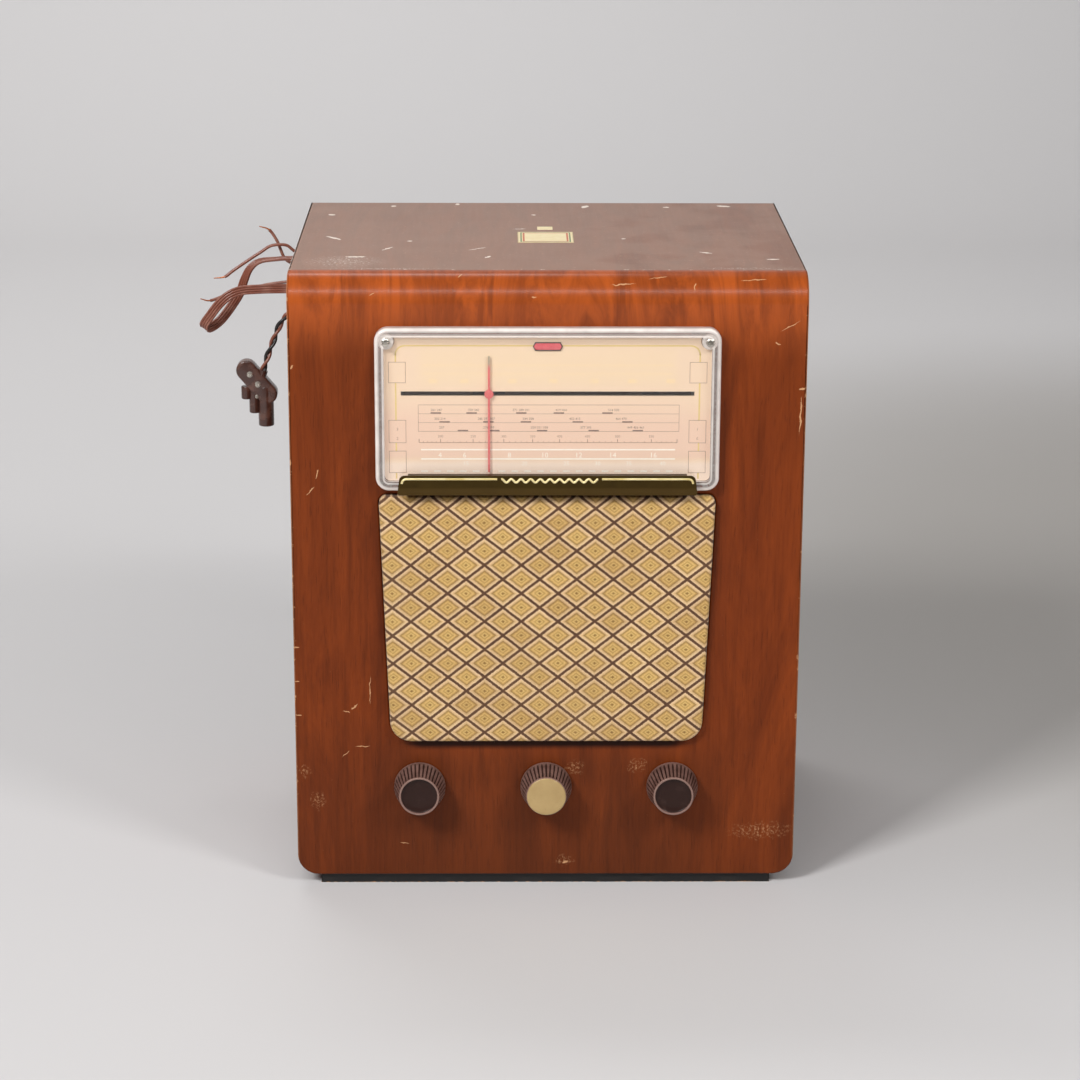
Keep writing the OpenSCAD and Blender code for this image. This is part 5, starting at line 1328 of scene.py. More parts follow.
def slips(boxes):
    """Thin flat boxes on the plate: each row is (left, right, low, high), and the eight corners of a
    slip are its four, at the plate's face and at the print's height in front of it."""
    boxes = np.asarray(boxes, float)
    x, z = boxes[:, [0, 1, 1, 0]], boxes[:, [2, 2, 3, 3]]
    layers = [np.stack([x, np.full_like(x, y), z], axis=-1) for y in (print_face, plate_face)]
    points = np.concatenate(layers, axis=1).reshape(-1, 3)
    walls = [[k, k + 4, (k + 1) % 4 + 4, (k + 1) % 4] for k in range(4)]
    sides = np.array([[0, 1, 2, 3], [7, 6, 5, 4], *walls])
    return points, (np.arange(len(boxes))[:, None, None] * 8 + sides).reshape(-1, 4)


def outline(left, right, low, high, wide):
    """The four slips of a rectangle's outline."""
    return [
        (left, right, low, low + wide), (left, right, high - wide, high),
        (left, left + wide, low + wide, high - wide), (right - wide, right, low + wide, high - wide),
    ]


def figures(rows):
    """Plain figures as thin solid letters: each row is (text, middle, foot, size)."""
    shapes = []
    for text, x, z, size in rows:
        letters = bpy.data.curves.new("figures", "FONT")
        letters.body, letters.size, letters.align_x = str(text), size, "CENTER"
        letters.extrude, letters.resolution_u = print_height / 2, 2
        writer = bpy.data.objects.new("figures", letters)
        mesh = writer.to_mesh()
        place = points_of(mesh)[:, [0, 2, 1]] * (1, -1, 1) + (x, plate_face - print_height / 2, z)
        shapes.append((place, [list(side.vertices) for side in mesh.polygons]))
        writer.to_mesh_clear()
        bpy.data.objects.remove(writer)
        bpy.data.curves.remove(letters)
    return shapes


brown = []
for low, high in ((388.5, 404.3), (343.2, 360.6), (320.4, 337.2)):
    brown += outline(103.8, 116.6, low, high, 0.35) + outline(-116.6, -103.8, low, high, 0.35)
brown += outline(-scale_half - 0.5, 96.7, 351.9, 372.2, 0.3)
brown += [(-94.7, 96.4, 365.2, 365.45), (-94.7, 96.4, 358.5, 358.75)]
brown += [(-scale_half, 95.5, scale_line - 0.3, scale_line + 0.1)]
ticks = np.array([-94.4, -78.6, -54.7, -32.1, -10.9, 8.9, 29.4, 51.5, 76.4, 95.3])
for a, b in zip(ticks[:-1], ticks[1:]):
    brown += [(x - 0.15, x + 0.15, scale_line, scale_line + 1.1) for x in np.linspace(a, b, 6)[1:-1]]
brown += [(x - 0.25, x + 0.25, scale_line, scale_line + 2.6) for x in ticks]
bars = {
    365.5: (-82, -55.8, -19.3, 8.2, 43.9), 358.8: (-75.6, -43.4, -15.9, 22.2, 58.6),
    352.2: (-62.2, -39.1, -4, 33.9, 66.3),
}
dark = [(x - 3.8, x + 3.8, z, z + 1.0) for z, places in bars.items() for x in places]
stations = {
    367.4: {-81.5: "261 247", -54.3: "330 342", -19.4: "371 389 391", 10: "419 434", 48.4: "514 530"},
    360.8: {-79: "202 214", -45: "285 293 307", -14.2: "344 358", 20: "402 415", 54: "464 470"},
    354.2: {-77.7: "257", -43.2: "276 299", -6: "324 331 338", 28.1: "377 395", 64.9: "449 456 461"},
}
stations = [(text, x, z, 2.5) for z, row in stations.items() for x, text in row.items()]
metres = [(200 + 50 * k, x, 347.4, 2.6) for k, x in enumerate(ticks[1:-1])]
metres += [(0, 110.2, 345.6, 3), (1, 110.2, 352.6, 3), (2, -110.2, 345.6, 3), (3, -110.2, 352.6, 3)]
gold = [(-104.5, -98, 415.9, 417.0), (-98, 104.5, 415.9, 417.0)]
for low, high in ((404.3, 410.5), (360.6, 388.5), (337.2, 343.2), (316, 320.4)):
    gold += [(-111.8, -110.6, low, high), (110.6, 111.8, low, high)]
pale = [(x, x + 5, 321.2, 322.4) for x in -93 + 9.5 * np.arange(20)]
pale += [(-93, 94, z, z + 1.1) for z in (337.6, 330.6)]
pale_figures = [(4 + 2 * k, x, 332.2, 5.4) for k, x in enumerate((-79, -61, -28, -2, 23, 48, 78))]
pale_figures += [(15 + 5 * k, x, 326.2, 4.4) for k, x in enumerate((-60, -17, 14, 37, 60, 85))]
yellow = [(-92, 92, z, z + 0.3) for z in (395.2, 401.8)]
yellow_figures = [
    (550 + 50 * k, x, 388.6, 4.2) for k, x in enumerate((-84, -61, -26, 4, 34, 62, 90))
]
corner_middle, corner_radii = (104.5, 409.7), (7.3, 6.1)


def gold_corner(side):
    """The gold line's corner at one side: a quarter circle as a thin bar, between its two radii and
    between the print's face and the plate's."""
    a = np.linspace(0, np.pi / 2, 9)
    arc = np.stack([np.cos(a), np.sin(a)], axis=1)
    outer, inner = ((arc * r + corner_middle) * (side, 1) for r in corner_radii)
    layers = ((outer, print_face), (inner, print_face), (inner, plate_face), (outer, plate_face))
    points = np.concatenate([np.insert(line, 1, y, axis=1) for line, y in layers])
    first = np.arange(4) * len(a)
    return points, [*grid_faces(4, len(a), ring=True), first, first[::-1] + len(a) - 1]


# Each ink: its slips, its figures and its colour
inks = {
    "scale_print_brown": (brown, metres, srgb(138, 98, 78)),
    "scale_print_dark": (dark, stations, srgb(88, 60, 48)),
    "scale_print_gold": (gold, [], srgb(226, 200, 112)),
    "scale_print_pale": (pale, pale_figures, srgb(255, 250, 238)),
    "scale_print_yellow": (yellow, yellow_figures, srgb(255, 226, 158)),
}
for name, (boxes, rows, colour) in inks.items():
    corners = [gold_corner(side) for side in (-1, 1)] if boxes is gold else []
    piece = joined(name, [slips(boxes), *corners, *figures(rows)])
    paint = Finish(name)
    fade = paint.noise(paint.place(), 400, detail=3)
    paint.surface(
        Base_Color=paint.mix(fade * 0.4, colour, plate_low), Roughness=fade * 0.1 + 0.4,
        Coat_Weight=0.2, Coat_Roughness=0.15,
    ).on(piece)
    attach(piece, "case")

# THE RED LENS
# A small bar of red plastic above the scale, moulded with a bevelled face. It is pressed into the
# plate in a dark frame of its own and lit from behind.

lens_middle, lens_half, lens_tall = 416, 10.25, 2.45
lens_ends = [(-1, 0), (-0.85, -1), (0.85, -1), (1, 0), (0.85, 1), (-0.85, 1)]
rim_loop, lens_loop = (
    np.array(lens_ends) * (lens_half + e, lens_tall + e) + (0, lens_middle) for e in (0.7, 0.02)
)
rim = board([rim_loop, lens_loop[::-1]], plate_face - 0.9, plate_face, 0.15, 0.05)
rim = joined("lens_surround", [rim])
rubber("lens_surround", srgb(46, 30, 26), srgb(96, 72, 62), gloss=0.35).on(rim)
lens = joined("ruby_lens", [board([lens_loop], plate_face - 1.2, plate_face, 0.5, 0.05)])
paint = Finish("ruby_plastic")
point = paint.place()
cloud = paint.noise(point, 240, detail=3)
paint.surface(
    Base_Color=paint.mix(cloud, srgb(196, 40, 56), srgb(236, 110, 118)), Roughness=cloud * 0.1 + 0.14,
    Coat_Weight=0.6, Coat_Roughness=0.08,
).on(lens)
for piece, slot in ((rim, "dark_plastic"), (lens, "red_plastic")):
    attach(piece, "case")
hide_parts("pilot_lens")

# THE DIAL WINDOW
# One clear moulding, open behind, with a rounded front edge, a thick rim that catches the light,
# and a frosty boss for a screw in each upper corner. Age has left it a little milky, and its rim's
# bright edge lines are painted highlights, whitened into that milk.

window_low, window_high, window_half = 308, 430.6, 126.5
window_radius, window_rim, window_face, window_back = 10, 6.2, -8, -5
window_screws, boss_radius, boss_milk = ((-118.2, 420), (118.2, 420)), 6, 0.85
a = np.linspace(0, np.pi / 2, 6)
# Each ring of the moulding: its distance from the outline, its depth and how milky it is, with the
# milk raised along the rim's edges to paint bright highlight lines
window_rings = [
    (11, window_back, 0.02), (7.4, window_back, 0.03), (6.8, window_back, 0.2),
    (6.25, window_back + 0.6, 0.75), (window_rim, -0.3, 0.5), (5.9, 0, 0.5), (0.4, 0, 0.4),
    (0, -0.4, 0.4), (0, -5.2, 0.45),
    *((2.8 * (1 - np.cos(t)), -5.2 - 2.8 * np.sin(t), 0.5 + 0.4 * np.sin(2 * t)) for t in a),
    (3.4, window_face, 0.24), (5.0, window_face, 0.22), (5.6, window_face, 0.7),
    (6.4, window_face, 0.55), (7.0, window_face, 0.05), (11, window_face, 0.02),
]
rings = []
for e, depth, _ in window_rings:
    radii = [max(window_radius - e, 1.2)] * 4
    loop = box_loop(e - window_half, window_half - e, window_low + e, window_high - e, radii, 10)
    rings.append(np.insert(loop, 1, depth, axis=1))
boss_profile = [
    [0, window_back - 0.1], [boss_radius - 0.6, window_back - 0.1], [boss_radius, window_back + 0.6],
    [boss_radius, -0.6], [boss_radius - 0.3, -0.1], [0, -0.1],
]
bosses = [turned_shape(boss_profile, (x, 0, z)) for x, z in window_screws]
window = joined("dial_window_moulding", [capped(np.array(rings)), *bosses])
milk = [np.full(len(rings[0]), m) for _, _, m in window_rings]
milk += [np.full(len(points), boss_milk) for points, _ in bosses]
mark(window, "milk", np.concatenate(milk))
paint = Finish("clear_moulding")
point = paint.place()
milk_and_glint_share = paint.attribute("milk")
facing = paint.node("ShaderNodeLayerWeight", None, {"Blend": 0.5}, output="Facing")
haze = paint.noise(point, 120, detail=4)
fine_marks = paint.noise(point, 1400, detail=3)
# Where the milk is raised on the rim's edges, its white stands in for painted highlight lines
solid = milk_and_glint_share * (haze * 0.5 + 0.7) + facing**5 * 0.8 + 0.03
plastic = {
    "Base Color": (0.93, 0.85, 0.79, 1), "Metallic": 1 - paint.step(milk_and_glint_share, 0.05, 0.2),
    "Roughness": milk_and_glint_share * 0.2 + haze * 0.05 + 0.04, "Normal": paint.bump(fine_marks, 0.00002),
    "Coat Weight": 0.5, "Coat Roughness": 0.08,
}
plastic = paint.node("ShaderNodeBsdfPrincipled", None, plastic)
shaders = {0: solid.least(0.95), 1: paint.node("ShaderNodeBsdfTransparent"), 2: plastic}
paint.shown(paint.node("ShaderNodeMixShader", None, shaders)).on(window)
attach(window, "case")
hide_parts("dial_window")

# THE WINDOW'S SCREWS
# A domed slotted screw of nickelled steel goes through each upper corner of the window into the
# wood. The nickel is dulled, with a few rusty spots.

window_head, window_shank, window_seat, window_reach = 3.2, 1.5, -7.6, 7.5
shapes = []
shank = soft_rod(window_shank, window_seat, window_reach, 0.6)
for x, z in window_screws:
    shapes.append(slotted_head(x, z, window_head, window_seat, 1.6, 0.8, sides=32))
    shapes.append(turned_shape(shank, (x, 0, z), sides=16))
piece = joined("window_screw_pair", shapes)
metal("screw_nickel", srgb(214, 208, 198), srgb(128, 120, 108), 0.2, rust=0.25).on(piece)
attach(piece, "case")
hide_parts("window_screws")

# THE TRIM STRIP
# A pressed brass strip across the foot of the window. Its lacquer has gone dark olive; a raised
# cream line runs in from each end, and a plain waved line fills the middle.

strip_face, bead_radius, bead_line, strip_end, bead_bend = -14, 0.9, 319.0, 107, 3.5
wave_drop, wave_height, wave_length = 1.2, 1.3, 7.1
paint = Finish("tarnished_brass")
point = paint.place()
across, depth, up = paint.axes(point)
tarnish, fine_marks = paint.noise(point, 90, detail=5), paint.noise(point, 1300, detail=3)
lower = 1 - paint.step(up * 1000 + tarnish * 2, 320, 322)
olive = paint.mix(tarnish, srgb(56, 42, 14), srgb(84, 66, 26))
paint.surface(
    Base_Color=paint.mix(lower * 0.5, olive, srgb(96, 74, 38)),
    Metallic=0.85, Roughness=tarnish * 0.2 + 0.3, Normal=paint.bump(fine_marks, 0.00004),
).on(nodes["trim_strip"])
t = np.linspace(0, np.pi / 2, 9)
corner = (strip_end - bead_bend, bead_line - bead_bend)
bent_end = corner + bead_bend * np.stack([np.sin(t), np.cos(t)], axis=1)
x = np.linspace(-34, 37, 143)
wave = bead_line - wave_drop + wave_height * np.sin(2 * np.pi * x / wave_length)
lines = [
    np.concatenate([[[-37, bead_line]], bent_end * (-1, 1)]),
    np.concatenate([[[40, bead_line]], bent_end]), np.stack([x, wave], axis=1),
]
shapes = []
for line in lines:
    line = np.insert(line, 1, strip_face + 0.2, axis=1)
    shapes.append(tube(line, *axes_along(line, flat_facing), round_section(bead_radius, 10)))
beads = joined("trim_strip_beads", shapes)
metal("cream_brass", srgb(246, 228, 170), srgb(214, 190, 120), 0.3, shine=0.35).on(beads)
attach(beads, "case")

# THE DIAL'S BRACKET AND LAMPS
# A zinc-plated sheet bracket behind the front carries the pointer's rail, the idlers' studs and two
# small lamps in spring caps that light the plate's edge.

metal("zinc_plate", srgb(172, 170, 160), srgb(118, 116, 108), 0.36, rust=0.5).on(nodes["dial_bracket"])
metal("rail_steel", srgb(196, 194, 188), srgb(140, 136, 128), 0.2).on(nodes["pointer_rail"])
lamp_bulb_end = 52.5
paint = Finish("lamp_brass_and_glass")
point = paint.place()
across, depth, up = paint.axes(point)
glass = abs(across) < lamp_bulb_end / 1000
dull = paint.noise(point, 500, detail=4)
brass = paint.mix(dull, srgb(170, 134, 66), srgb(214, 180, 104))
paint.surface(
    Base_Color=paint.mix(glass, brass, srgb(226, 222, 206)),
    Metallic=1 - glass * 0.9, Roughness=dull * 0.2 + 0.14, Coat_Weight=glass * 0.9, Coat_Roughness=0.05,
).on(nodes["dial_lamps"])

# THE POINTER AND CARRIAGE
# A painted needle stands in front of the plate: red below and rubbed to a greyish beige above. Its
# stem goes through the slot to a dark moulded carriage on the rail.

needle_red, needle_bare = 407, 413
paint = Finish("needle_paint")
point = paint.place()
across, depth, up = paint.axes(point)
worn = paint.noise(point, 260, detail=4)
bare = paint.step(up * 1000 + worn * 8 - 4, needle_red, needle_bare)
red = paint.mix(worn, srgb(206, 70, 74), srgb(228, 116, 112))
paint.surface(
    Base_Color=paint.mix(bare, red, srgb(176, 160, 134)), Roughness=worn * 0.2 + 0.26,
    Coat_Weight=0.4, Coat_Roughness=0.15, Normal=paint.bump(worn, 0.00005),
).on(nodes["pointer"])


def moulded(name, fresh, worn):
    """A moulded plastic part: its own colour with dusty patches, fine orange-peel and a soft shine."""
    paint = Finish(name)
    point = paint.place()
    patch = paint.step(paint.noise(point, 90, detail=5), 0.45, 0.75)
    peel = paint.noise(point, 800, detail=3)
    return paint.surface(
        Base_Color=paint.mix(patch * 0.6, fresh, worn), Roughness=patch * 0.25 + 0.3,
        Normal=paint.bump(peel, 0.00005), Coat_Weight=0.3, Coat_Roughness=0.2,
    )


moulded("carriage_plastic", srgb(34, 31, 30), srgb(88, 80, 74)).on(nodes["carriage"])

# THE IDLERS AND THE DRUM
# Three grooved wheels and the large drum, all moulded in ivory plastic that has yellowed, with
# grease round their middles.

drum_middle = (0.115, 0.145)
paint = Finish("ivory_wheels")
point = paint.place()
across, depth, up = paint.axes(point)
patch, peel = paint.noise(point, 70, detail=5), paint.noise(point, 900, detail=3)
reach = ((across - drum_middle[0]) ** 2 + (up - drum_middle[1]) ** 2) ** 0.5
grease = (1 - paint.step(reach, 0.008, 0.016)) * patch
ivory = paint.mix(patch, srgb(206, 190, 150), srgb(228, 216, 184))
paint.surface(
    Base_Color=paint.mix(grease, ivory, srgb(96, 78, 50)), Roughness=patch * 0.2 + 0.3,
    Normal=paint.bump(peel, 0.00005), Coat_Weight=0.3, Coat_Roughness=0.2,
).on(*(nodes[n] for n in ("left_idler", "outer_idler", "inner_idler", "drive_drum")))

# THE DRIVE CORDS
# Two braided cords: one runs from the drum over the idlers and draws the pointer's carriage, the
# other goes from the drum's second groove round the tuning spindle.

cord_radius, cord_sides, pointer_cord_depth, tuning_cord_depth = 0.5, 8, 33, 37.5
# Each pulley's middle and the radius that the cord runs at, negative where it passes the other way
drum, spindle = (115, 137, 59), (96, 73, 4.5)
idlers = ((158, 380.5, 9.5), (-154, 380.5, 9.5), (136, 361.5, -9.5))


def belt_line(pulleys, depth):
    """The closed line of a belt round pulleys (x, z, radius), the radius negative where it passes
    the other way. A run leaves a pulley at the angle of the line between two middles plus the arc
    sine of the radii's difference over its length; an arc joins each run to the next."""
    p = np.asarray(pulleys, float)
    across, up, larger = (np.roll(p, -1, axis=0) - p).T
    angle = np.arctan2(up, across) + np.arcsin(-larger / np.hypot(across, up))
    line = []
    for (x, z, r), start, stop in zip(p, np.roll(angle, 1), angle):
        way = np.sign(r)
        turn = way * ((way * (stop - start)) % (2 * np.pi))
        b = start + turn * np.linspace(0, 1, max(6, int(abs(turn * r) / 1.2)))
        line.append(np.stack([x + r * np.sin(b), np.full_like(b, depth), z - r * np.cos(b)], axis=1))
    return np.concatenate(line)


def belt(name, pulleys, depth):
    """A round cord along a belt's line, closed on itself."""
    line = belt_line(pulleys, depth)
    side = np.cross(unit(np.roll(line, -1, axis=0) - np.roll(line, 1, axis=0)), flat_facing)
    rings = around(line, flat_facing, side, round_section(cord_radius, cord_sides))
    faces = grid_faces(len(line), cord_sides, joined=True, ring=True)
    return joined(name, [(rings.reshape(-1, 3), faces)])


cords = {
    "pointer_cord": belt("pointer_drive_cord", [drum, *idlers], pointer_cord_depth),
    "tuning_cord": belt("tuning_drive_cord", [drum, spindle], tuning_cord_depth),
}
paint = Finish("braided_cord")
point = paint.place()
braid, soil = paint.noise(point, 2600, detail=1), paint.noise(point, 60, detail=4)
linen = paint.mix(soil, srgb(150, 122, 80), srgb(196, 170, 124))
paint.surface(
    Base_Color=paint.mix(braid * 0.5, linen, srgb(96, 70, 42)),
    Roughness=0.85, Normal=paint.bump(braid, 0.0002), Sheen_Weight=0.2,
).on(*cords.values())
for node, piece in cords.items():
    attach(piece, "case")
    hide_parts(node)

# THE TUNING CAPACITOR
# A steel frame on the chassis holds two banks of thin aluminium vanes; a second set on the shaft
# turns in between them.

metal("gang_steel", srgb(186, 184, 178), srgb(134, 130, 122), 0.3, rust=0.3).on(nodes["gang_frame"])
metal("vane_aluminium", srgb(206, 206, 204), srgb(150, 148, 142), 0.3).on(
    nodes["gang_stators"], nodes["gang_rotor"]
)

# THE CONTROLS
# Steel spindles turn in brass bushes on the chassis. Behind them are the volume control in its tin
# case and the wave-change switch with two brown wafers.

metal("spindle_steel", srgb(190, 188, 182), srgb(128, 124, 116), 0.24).on(
    *(nodes[n] for n in ("tuning_spindle", "volume_spindle", "switch_spindle"))
)
metal("bush_brass", srgb(190, 152, 80), srgb(138, 106, 54), 0.3).on(nodes["control_bushes"])
metal("tinned_case", srgb(188, 186, 178), srgb(130, 126, 116), 0.28, rust=0.4).on(
    nodes["volume_control"]
)
paint = Finish("brown_wafer")
streak = paint.noise(paint.place(scale=(0.2, 1, 1)), 420, detail=4)
dusty = paint.step(paint.noise(paint.place(), 50, detail=4), 0.5, 0.8)
wafer = paint.mix(streak, srgb(96, 54, 26), srgb(138, 84, 44))
paint.surface(
    Base_Color=paint.mix(dusty * 0.35, wafer, srgb(150, 136, 116)), Roughness=dusty * 0.3 + 0.3,
    Normal=paint.bump(streak, 0.00005), Coat_Weight=0.3, Coat_Roughness=0.25,
).on(nodes["wavechange_switch"], nodes["socket_strip"])

# THE CHASSIS AND ITS PARTS
# An upturned tray of plated steel stands on four bolted tabs. It carries two transformers, five
# valves in their holders, screening cans and the socket strip.

metal("chassis_plate", srgb(170, 168, 160), srgb(112, 108, 98), 0.36, rust=0.7).on(nodes["chassis"])
paint = Finish("iron_and_winding")
point = paint.place()
across, depth, up = paint.axes(point)
sheets, wax = paint.wave(point, 420, "Y"), paint.noise(point, 90, detail=5)
iron = paint.mix(sheets * 0.5, srgb(52, 48, 46), srgb(84, 78, 72))
paint.surface(
    Base_Color=paint.mix(wax, iron, srgb(110, 92, 70)),
    Metallic=0.35, Roughness=wax * 0.25 + 0.5, Normal=paint.bump(sheets, 0.00015),
).on(nodes["transformers"])
moulded("holder_resin", srgb(66, 36, 24), srgb(116, 92, 74)).on(nodes["valve_holders"])

valve_base_top, valve_silver = 0.122, 0.152
paint = Finish("valve_glass")
point = paint.place()
across, depth, up = paint.axes(point)
smoke = paint.noise(point, 120, detail=4)
base = up < valve_base_top
silver = paint.step(up + smoke * 0.006, valve_silver, valve_silver + 0.006)
inside = paint.mix(silver, paint.mix(smoke, srgb(40, 40, 42), srgb(96, 96, 98)), srgb(196, 194, 190))
paint.surface(
    Base_Color=paint.mix(base, inside, srgb(44, 32, 28)), Metallic=silver * 0.9 * (1 - base),
    Roughness=base * 0.3 + smoke * 0.06 + 0.06, Coat_Weight=1 - base * 0.7, Coat_Roughness=0.04,
).on(nodes["valves"])
metal("can_aluminium", srgb(200, 200, 198), srgb(146, 144, 140), 0.32).on(nodes["screening_cans"])

# THE LOUDSPEAKER
# A pressed steel basket bolted to the baffle, a grey magnet pot, and a black paper cone with fine
# ribs, held at its rim by one soft rolled ring that gives as the cone moves.

metal("basket_paint", srgb(96, 98, 98), srgb(70, 66, 60), 0.42, shine=0.4, rust=0.5).on(
    nodes["speaker_frame"]
)
metal("magnet_paint", srgb(84, 88, 92), srgb(62, 62, 62), 0.5, shine=0.3, rust=0.4).on(
    nodes["speaker_magnet"]
)
cone_middle = in_frame((0, 0, speaker_middle))[2]
paint = Finish("cone_paper")
point = paint.place()
across, depth, up = paint.axes(point)
reach = (across**2 + (up - cone_middle) ** 2) ** 0.5
ribs = abs((reach * 220) % 1 - 0.5)
pulp = paint.noise(point, 700, detail=5)
paint.surface(
    Base_Color=paint.mix(pulp, srgb(24, 22, 21), srgb(58, 54, 50)), Roughness=pulp * 0.2 + 0.72,
    Normal=paint.bump(ribs + pulp * 0.3, 0.0003),
).on(nodes["speaker_cone"])

# The soft ring's profile: flat at its outer and inner edge, with half a sine wave rolled between
surround_out, roll_out, roll_in, surround_in, surround_sides = 73.2, 73, 69.7, 65.5, 96
roll_low, roll_high, roll_height, ring_thickness = 18.68, 19.12, 0.75, 0.28
share = np.linspace(0, 1, 9)
rise = roll_low + (roll_high - roll_low) * share + roll_height * np.sin(np.pi * share)
line = np.stack([roll_out - (roll_out - roll_in) * share, rise], axis=1)
line = np.concatenate([[[surround_out, roll_low]], line, [[surround_in, roll_high]]])
lower, upper = line - (0, ring_thickness / 2), line + (0, ring_thickness / 2)
radius, depth = np.concatenate([lower, upper[::-1]]).T[:, :, None]
a = 2 * np.pi * np.arange(surround_sides) / surround_sides
rings = [radius * np.cos(a), depth + 0 * a, speaker_middle + radius * np.sin(a)]
faces = grid_faces(len(radius), surround_sides, joined=True, ring=True)
surround = joined("rolled_surround", [(np.stack(rings, axis=-1).reshape(-1, 3), faces)])
paint = Finish("surround_felt")
point = paint.place()
felt = paint.noise(point, 1800, detail=4)
paint.surface(
    Base_Color=paint.mix(felt, srgb(34, 32, 31), srgb(64, 60, 56)), Roughness=0.92,
    Normal=paint.bump(felt, 0.0002), Sheen_Weight=0.4,
).on(surround)
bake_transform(surround)
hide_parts("speaker_surround")

# THE KNOBS
# Three knobs moulded in dark brown resin and pushed on their spindles: a fluted skirt tapers forward
# to a plain rim round a dished face. Fingers have greyed the flutes and worn the rim pale.

skirt_radius, skirt_depth, knob_gap = 19.5, 3, 1
rim_radius, rim_wall, rim_face, dish_depth = 15.2, 1.5, -23, 2
flutes, flute_depth, flute_samples = 36, 0.75, 14
spindle_radius, hub_radius, spindle_end, knob_wall = 3.175, 7.175, -18.5, 3
knob_brown, knob_dusty, knob_worn = srgb(44, 25, 20), srgb(146, 112, 102), srgb(150, 124, 112)


def knob_shape(x):
    """A fluted knob in rings of (radius, depth, flute, wear). The radius is less by the flute's depth
    times the square root of how far the cosine of its angle, turned once a flute, is over a third;
    flute fades towards the rim and the skirt's back."""
    front, floor, inside = -knob_gap - skirt_depth, rim_face + dish_depth, rim_radius - rim_wall
    back = [
        (0.01, spindle_end, 0, 0), (spindle_radius, spindle_end, 0, 0),
        (spindle_radius, -knob_gap, 0, 0), (hub_radius, -knob_gap, 0, 0), (hub_radius, floor + 5, 0, 0),
        (rim_radius - knob_wall, floor + 5, 0, 0), (skirt_radius - knob_wall, -knob_gap, 0, 0),
        (skirt_radius - 0.4, -knob_gap, 0, 0.2), (skirt_radius, -knob_gap - 0.4, 0, 0.4),
        (skirt_radius, front + 0.8, 0, 0.3), (skirt_radius, front + 0.1, 0.2, 0.3),
    ]
    taper = [
        (skirt_radius - (skirt_radius - rim_radius) * s, front + s * (rim_face + 1.2 - front),
         min(1, 14 * (1 - s)) * min(1, 0.35 + 6 * s), 0.25)
        for s in np.linspace(0, 1, 15)
    ]
    turns = [(np.sin(b), np.cos(b), b / (np.pi / 2)) for b in quarter_turn]
    rim = [
        (rim_radius - 0.6 + 0.6 * c, rim_face + 0.6 - 0.6 * s, 0, 0.55 + 0.45 * s) for s, c, _ in turns
    ]
    inner = [(inside + 0.4 - 0.4 * s, rim_face + 0.4 - 0.4 * c, 0, 1 - 0.6 * t) for s, c, t in turns]
    dish = [
        (inside - 0.1, floor - 0.5, 0, 0.1), (inside - 0.6, floor - 0.05, 0, 0),
        (8, floor + 0.25, 0, 0), (3, floor + 0.4, 0, 0), (0.01, floor + 0.42, 0, 0),
    ]
    radius, depth, flute, wear = np.array([*back, *taper, *rim, *inner, *dish]).T[:, :, None]
    count = flutes * flute_samples
    a = 2 * np.pi * (np.arange(count) + 0.5) / count
    groove = np.sqrt(np.clip((np.cos(flutes * a) - 0.33) / 0.67, 0, 1))
    r = radius - flute_depth * flute * groove
    rings = np.stack([x + r * np.cos(a), depth + 0 * a, knob_height + r * np.sin(a)], axis=-1)
    worn = np.clip(wear * (1 - groove * flute) + 0 * a, 0, 1)
    return capped(rings), worn.ravel()


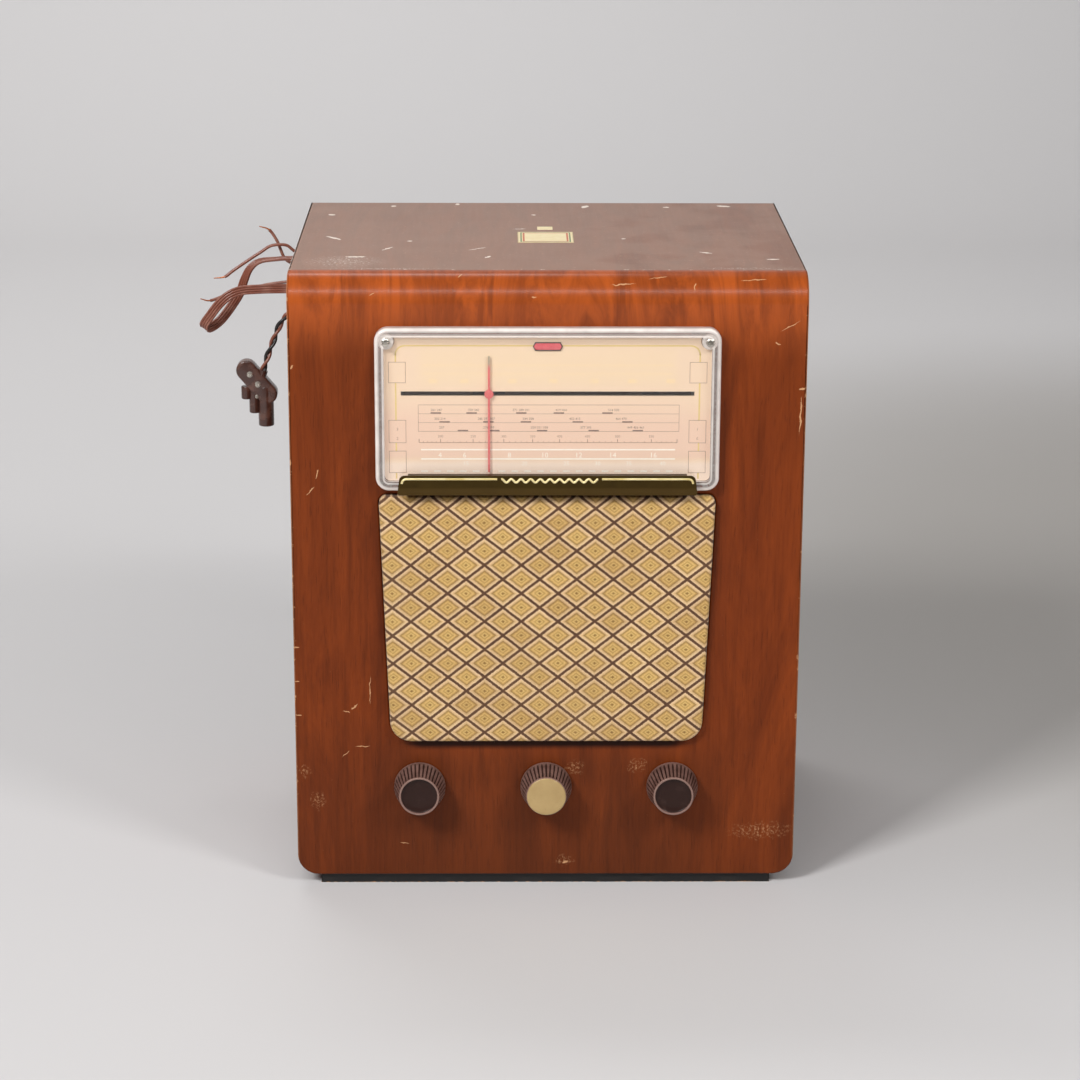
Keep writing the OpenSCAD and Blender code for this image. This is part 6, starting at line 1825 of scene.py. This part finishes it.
paint = Finish("knob_resin")
point = paint.place()
worn = paint.attribute("wear")
dusty, marks = paint.noise(point, 120, detail=5), paint.noise(point, 900, detail=4)
rubbed = paint.step(worn + dusty * 0.5 - 0.25, 0.5, 0.95)
greyed = paint.step(worn + dusty * 0.4 - 0.2, 0.02, 0.4)
colour = paint.mix(greyed * 0.75, knob_brown, knob_dusty)
paint.surface(
    Base_Color=paint.mix(rubbed * marks * 0.7, colour, knob_worn),
    Roughness=greyed * 0.2 + marks * 0.12 + 0.28, Normal=paint.bump(marks, 0.00006),
    Coat_Weight=greyed * 0.15 + 0.08, Coat_Roughness=0.25, Specular_IOR_Level=0.2,
)
knobs = {"volume_knob": "volume", "wavechange_knob": "wavechange", "tuning_knob": "tuning"}
for (node, body), x in zip(knobs.items(), knob_places):
    shape, wear = knob_shape(x)
    piece = joined("fluted_" + node, [shape], crease=50)
    mark(piece, "wear", wear)
    paint.on(piece)
    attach(piece, body)
    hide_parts(node)

# THE MIDDLE KNOB'S DISC
# A turned disc of yellowed ivory plastic fills the dish of the middle knob and laps over its rim. It
# is pressed in and turns with the knob.

disc_face, disc_radius, disc_neck = -24, rim_radius - 0.5, rim_radius - rim_wall - 0.15
t = np.linspace(0, np.pi / 2, 6)
edge = np.stack([disc_radius - 0.8 + 0.8 * np.cos(t), disc_face + 0.8 - 0.8 * np.sin(t)], axis=1)
profile = [
    [0, rim_face + dish_depth], [disc_neck, rim_face + dish_depth], [disc_neck, rim_face - 0.05],
    [disc_radius, rim_face - 0.05], *edge, [9, disc_face + 0.05], [4, disc_face + 0.15],
    [0, disc_face + 0.18],
]
disc = joined("ivory_disc", [turned_shape(profile, (0, 0, knob_height), sides=72)])
paint = Finish("yellowed_ivory")
point = paint.place()
age, scuffs = paint.noise(point, 90, detail=4), paint.noise(point, 700, detail=5)
marks = paint.step(scuffs, 0.66, 0.72)
ivory = paint.mix(age, srgb(164, 134, 84), srgb(190, 162, 110))
paint.surface(
    Base_Color=paint.mix(marks * 0.3, ivory, srgb(104, 78, 42)), Roughness=age * 0.15 + 0.3,
    Normal=paint.bump(scuffs, 0.00004), Coat_Weight=0.3, Coat_Roughness=0.2,
).on(disc)
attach(disc, "wavechange")
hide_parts("wavechange_disc")

# THE TWO BOXES
# The box that the plain solids fill and the one that the dressed radio fills are kept side by side,
# each as two corners in metres.

dressed_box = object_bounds()
boxes = {"packed": packed_box, "dressed": dressed_box}
